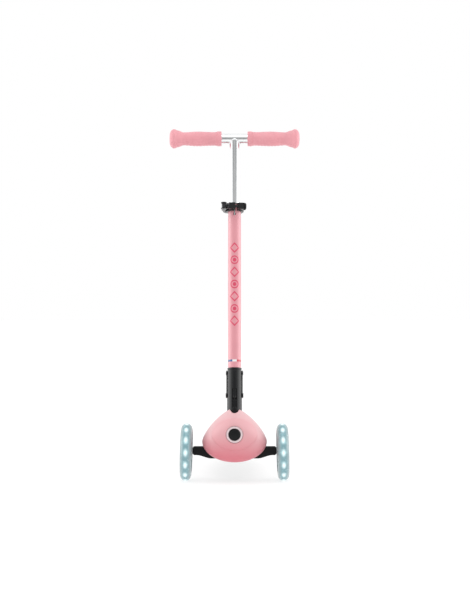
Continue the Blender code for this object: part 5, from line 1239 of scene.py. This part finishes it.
def makeRearWheel():
    wheel = dict(radius=39.9 * mm, inner=28 * mm, half=13 * mm, innerHalf=11 * mm, rim=27.7 * mm,
                 hub=14.8 * mm, face=12.5 * mm, web=2.5 * mm, rimIn=21.75 * mm, seat=11.3 * mm)
    tyre = makeTyre("rearTyre", rearPlace, wheel["radius"], 0)
    profile = tyreProfile(wheel["inner"], wheel["radius"], wheel["half"], wheel["innerHalf"])
    piece("rearTyre", spun(profile, 128, closed=True), rearPlace, tyre, "rear_wheel",
          "rear_tyre")
    webRows = [(wheel["hub"] + (wheel["rimIn"] - wheel["hub"]) * share, wheel["web"])
               for share in (0, 0.1, 0.9, 1)]
    profile = [(wheel["hub"], wheel["face"]), *webRows, (wheel["rimIn"], 10 * mm),
               (wheel["rimIn"] + mm, 11 * mm), (wheel["rim"], 11 * mm),
               (wheel["rim"], -11 * mm), (wheel["rimIn"] + mm, -11 * mm),
               (wheel["rimIn"], -10 * mm), *[(r, -z) for r, z in reversed(webRows)],
               (wheel["hub"], -wheel["face"]), (wheel["seat"], -wheel["face"]),
               (wheel["seat"], -5.2 * mm), (8 * mm, -5.2 * mm), (8 * mm, 5.2 * mm),
               (wheel["seat"], 5.2 * mm), (wheel["seat"], wheel["face"])]
    bm = makeCore(profile, 15.8 * mm, 21 * mm, wheel["web"], 8, 3 * mm)
    piece("rearWheelCore", roundEdges(bm, 0.3 * mm, 2, 60), rearPlace, frostedCore, "rear_wheel",
          "rear_wheel_core", evenShading=True)
    makeBearing("rearBearingLeft", rearPlace, -12.5 * mm, "rear_wheel", "rear_bearing_left")
    makeBearing("rearBearingRight", rearPlace, 5.5 * mm, "rear_wheel", "rear_bearing_right")
    bolt = [(0, -29.8), (3, -29.8), (3, -31.3), (6, -31.3), (6.5, -30.8), (6.5, -27.3),
            (3.7, -27.3), (3.7, 31.8), (3.2, 32.3), (0, 32.3)]
    piece("rearAxleBolt", lathe(bolt), rearPlace, zincSteel,
          "deck", "rear_axle_bolt")
    nut = rod(7.5 * mm, (0, 0, 27.3 * mm), (0, 0, 31.3 * mm), 6)
    nut = cut(nut, rod(4 * mm, (0, 0, 20 * mm), (0, 0, 40 * mm), 32))
    piece("rearAxleNut", roundEdges(nut, 0.3 * mm), rearPlace, zincSteel, "deck",
          "rear_axle_nut")


makeFrontWheel(-1, "left")
makeFrontWheel(1, "right")
makeRearWheel()
print("wheels made")


# deck

deckLow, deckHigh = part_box("deck_shell")
deckSize = dict(front=deckLow.y, rear=deckHigh.y, top=deckHigh.z, bottom=deckLow.z,
                corner=16 * mm, wall=3 * mm)
deckShape = [(0.0, 50 * mm), (0.3, 62 * mm), (0.75, 58 * mm), (1.0, 47 * mm)]


def deckHalf(y):
    share = (y - deckSize["front"]) / (deckSize["rear"] - deckSize["front"])
    for (s0, w0), (s1, w1) in zip(deckShape, deckShape[1:]):
        if share <= s1 + 1e-6:
            return w0 + (w1 - w0) * smoothStep(share, s0, s1)
    return deckShape[-1][1]


def deckOutline(inset, steps=10, stations=48):
    front, rear = deckSize["front"] + inset, deckSize["rear"] - inset
    corner = max(2 * mm, deckSize["corner"] - inset)
    right = arc((deckHalf(front + corner) - inset - corner, front + corner), corner,
                -math.pi / 2, 0, steps)
    for i in range(1, stations):
        y = front + corner + (rear - front - 2 * corner) * i / stations
        right.append((deckHalf(y) - inset, y))
    right += arc((deckHalf(rear - corner) - inset - corner, rear - corner), corner, 0,
                 math.pi / 2, steps)
    return right + [(-x, y) for x, y in reversed(right)]


def makeDeck():
    mat = dict(inset=9 * mm, depth=1.2 * mm, studRise=0.7 * mm, rows=76, columns=24)
    bm = slab(deckOutline(0), deckSize["bottom"], deckSize["top"])
    roundEdges(bm, 3 * mm, 5, 50)
    ceiling = deckSize["top"] - deckSize["wall"] - 0.5 * mm
    bm = cut(bm, slab(deckOutline(deckSize["wall"]), deckSize["bottom"] - 5 * mm, ceiling))
    bm = cut(bm, slab(deckOutline(mat["inset"]), deckSize["top"] - mat["depth"],
                      deckSize["top"] + 5 * mm))
    for side in (-1, 1):
        low, high = sorted((side * 17.9 * mm, side * 27.6 * mm))
        bm = cut(bm, block((low, deckSize["rear"] - 9 * mm, deckSize["bottom"] - mm),
                           (high, deckSize["rear"] + 5 * mm, 74.8 * mm)))
    bm = cut(bm, block((-24 * mm, deckSize["front"] - mm, deckSize["bottom"] - mm),
                       (24 * mm, deckSize["front"] + 6 * mm, 75 * mm)))
    roundEdges(bm, 0.35 * mm, 2, 55)
    piece("deckShell", bm, None, pinkShell, "deck", "deck_shell",
          evenShading=True)

    # the non-slip mat: a grid drawn to the deck's outline, with a stud on every second cell
    bm = bmesh.new()
    bmesh.ops.create_grid(bm, x_segments=mat["columns"], y_segments=mat["rows"], size=1)
    inset = mat["inset"] + 0.3 * mm
    front, rear = deckSize["front"] + inset, deckSize["rear"] - inset
    corner = deckSize["corner"] - inset
    low = deckSize["top"] - mat["depth"] + 0.1 * mm
    for vert in bm.verts:
        y = front + (rear - front) * (vert.co.y + 1) / 2
        half = deckHalf(y) - inset
        near = min(y - front, rear - y)
        if near < corner:  # round the corners
            half -= corner - math.sqrt(max(0, corner ** 2 - (corner - near) ** 2))
        vert.co = (vert.co.x * half, y, low)
    shell = bmesh.ops.extrude_face_region(bm, geom=list(bm.faces))["geom"]
    bmesh.ops.translate(bm, verts=[g for g in shell if isinstance(g, bmesh.types.BMVert)],
                        vec=(0, 0, 0.9 * mm))
    bmesh.ops.recalc_face_normals(bm, faces=bm.faces)
    raised = []
    for face in bm.faces:
        middle = face.calc_center_median()
        if face.normal.z > 0.9:
            row = int((middle.y - front) / (rear - front) * mat["rows"])
            column = int((middle.x / (deckHalf(middle.y) - inset) + 1) / 2 * mat["columns"])
            inside = 1 <= row < mat["rows"] - 1 and 1 <= column < mat["columns"] - 1
            if inside and (row + column) % 2 == 0:
                raised.append(face)
    bmesh.ops.inset_individual(bm, faces=raised, thickness=0.5 * mm, depth=mat["studRise"])
    piece("deckMat", bm, None, deckMat, "deck")

    piece("deckFrame", fromCad("deck_frame", 0.6 * mm, 50), None, blackNylon, "deck",
          "deck_frame", evenShading=True)


def makeFasteners():
    bolt = [(0, 3.0), (2.4, 3.0), (2.4, 4.0), (4.6, 4.0), (5, 3.6), (5, 0), (3, 0), (3, -46.5),
            (2.5, -47), (0, -47)]
    screw = [(0, 1.5), (1.3, 1.5), (1.3, 2.4), (3.8, 2.4), (4.5, 1.6), (4.5, 0), (2, 0),
             (2, -15.5), (1.6, -16), (0, -16)]
    for word in ("left", "right"):
        for profile, node, name, turn, rear in (
                (bolt, f"deck_bolt_{word}", f"{word}DeckBolt", facing, False),
                (screw, f"nose_screw_{word}", f"{word}NoseScrew", facing.inverted(), True)):
            low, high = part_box(node)
            head = max(z for r, z in profile) * mm
            y = high.y - head if rear else low.y + head
            bm = lathe(profile, 40)
            place = Matrix.Translation(((low.x + high.x) / 2, y, (low.z + high.z) / 2)) @ turn
            piece(name, bm, place, zincSteel, "deck", node)


def makeBrake():
    fender = dict(inner=48 * mm, outer=51 * mm, start=20, end=145, half=18 * mm,
                  barrel=5.5 * mm, barrelEnd=9 * mm, hole=3.3 * mm)
    bars = dict(count=6, first=64, pitch=9, radius=1.3 * mm, half=12 * mm)
    axle = rearPoint
    pivot = jointPoint("brake_press")
    local = (pivot.y - axle.y, pivot.z - axle.z)
    start, end = math.radians(fender["start"]), math.radians(fender["end"])
    bm = curved((0, 0), fender["inner"], fender["outer"], start, end, -fender["half"],
                fender["half"], 72)
    roundEdges(bm, 0.9 * mm, 3, 50)
    bm = combine(bm, rod(fender["barrel"], (*local, -fender["half"]),
                         (*local, fender["barrelEnd"]), 48))
    bm = cut(bm, rod(fender["hole"], (*local, -40 * mm), (*local, 40 * mm), 32))
    bm = cut(bm, block((local[0] - 9 * mm, local[1] - 9 * mm, fender["barrelEnd"]),
                       (local[0] + 12 * mm, local[1] + 9 * mm, 40 * mm)))
    for i in range(bars["count"]):  # grip bars for the foot
        angle = math.radians(bars["first"] + bars["pitch"] * i)
        x, y = fender["outer"] * math.cos(angle), fender["outer"] * math.sin(angle)
        bar = rod(bars["radius"], (x, y, -bars["half"]), (x, y, bars["half"]), 24)
        bm = combine(bm, roundEdges(bar, 0.5 * mm, 2, 60))
    turn = Matrix(((0, 0, 1, 0), (1, 0, 0, 0), (0, 1, 0, 0), (0, 0, 0, 1)))
    place = Matrix.Translation(axle) @ turn
    piece("brakeFender", bm, place, blackNylon, "brake", "brake_fender",
          evenShading=True)
    outer = fender["inner"] - 0.3 * mm
    start, end = math.radians(85), math.radians(125)
    bm = curved((0, 0), outer - 2.5 * mm, outer, start, end, -10 * mm, 10 * mm, 24)
    piece("brakeLiner", roundEdges(bm, 0.4 * mm, 2, 50), place, blackRubber, "brake",
          "brake_liner")
    pin = [(0, -29.3), (4.4, -29.3), (5, -28.7), (5, -27.3), (3, -27.3), (3, 26.9), (2.6, 27.3),
           (0, 27.3)]
    piece("brakePin", lathe(pin), brakePlace, zincSteel,
          "deck", "brake_pin")
    coil("brakeSpring", brakePlace, 4.4 * mm, 0.6 * mm, 9.6 * mm, 17.7 * mm, 4, "deck",
         "brake_spring")


makeDeck()
makeFasteners()
makeBrake()
print("deck and brake made")
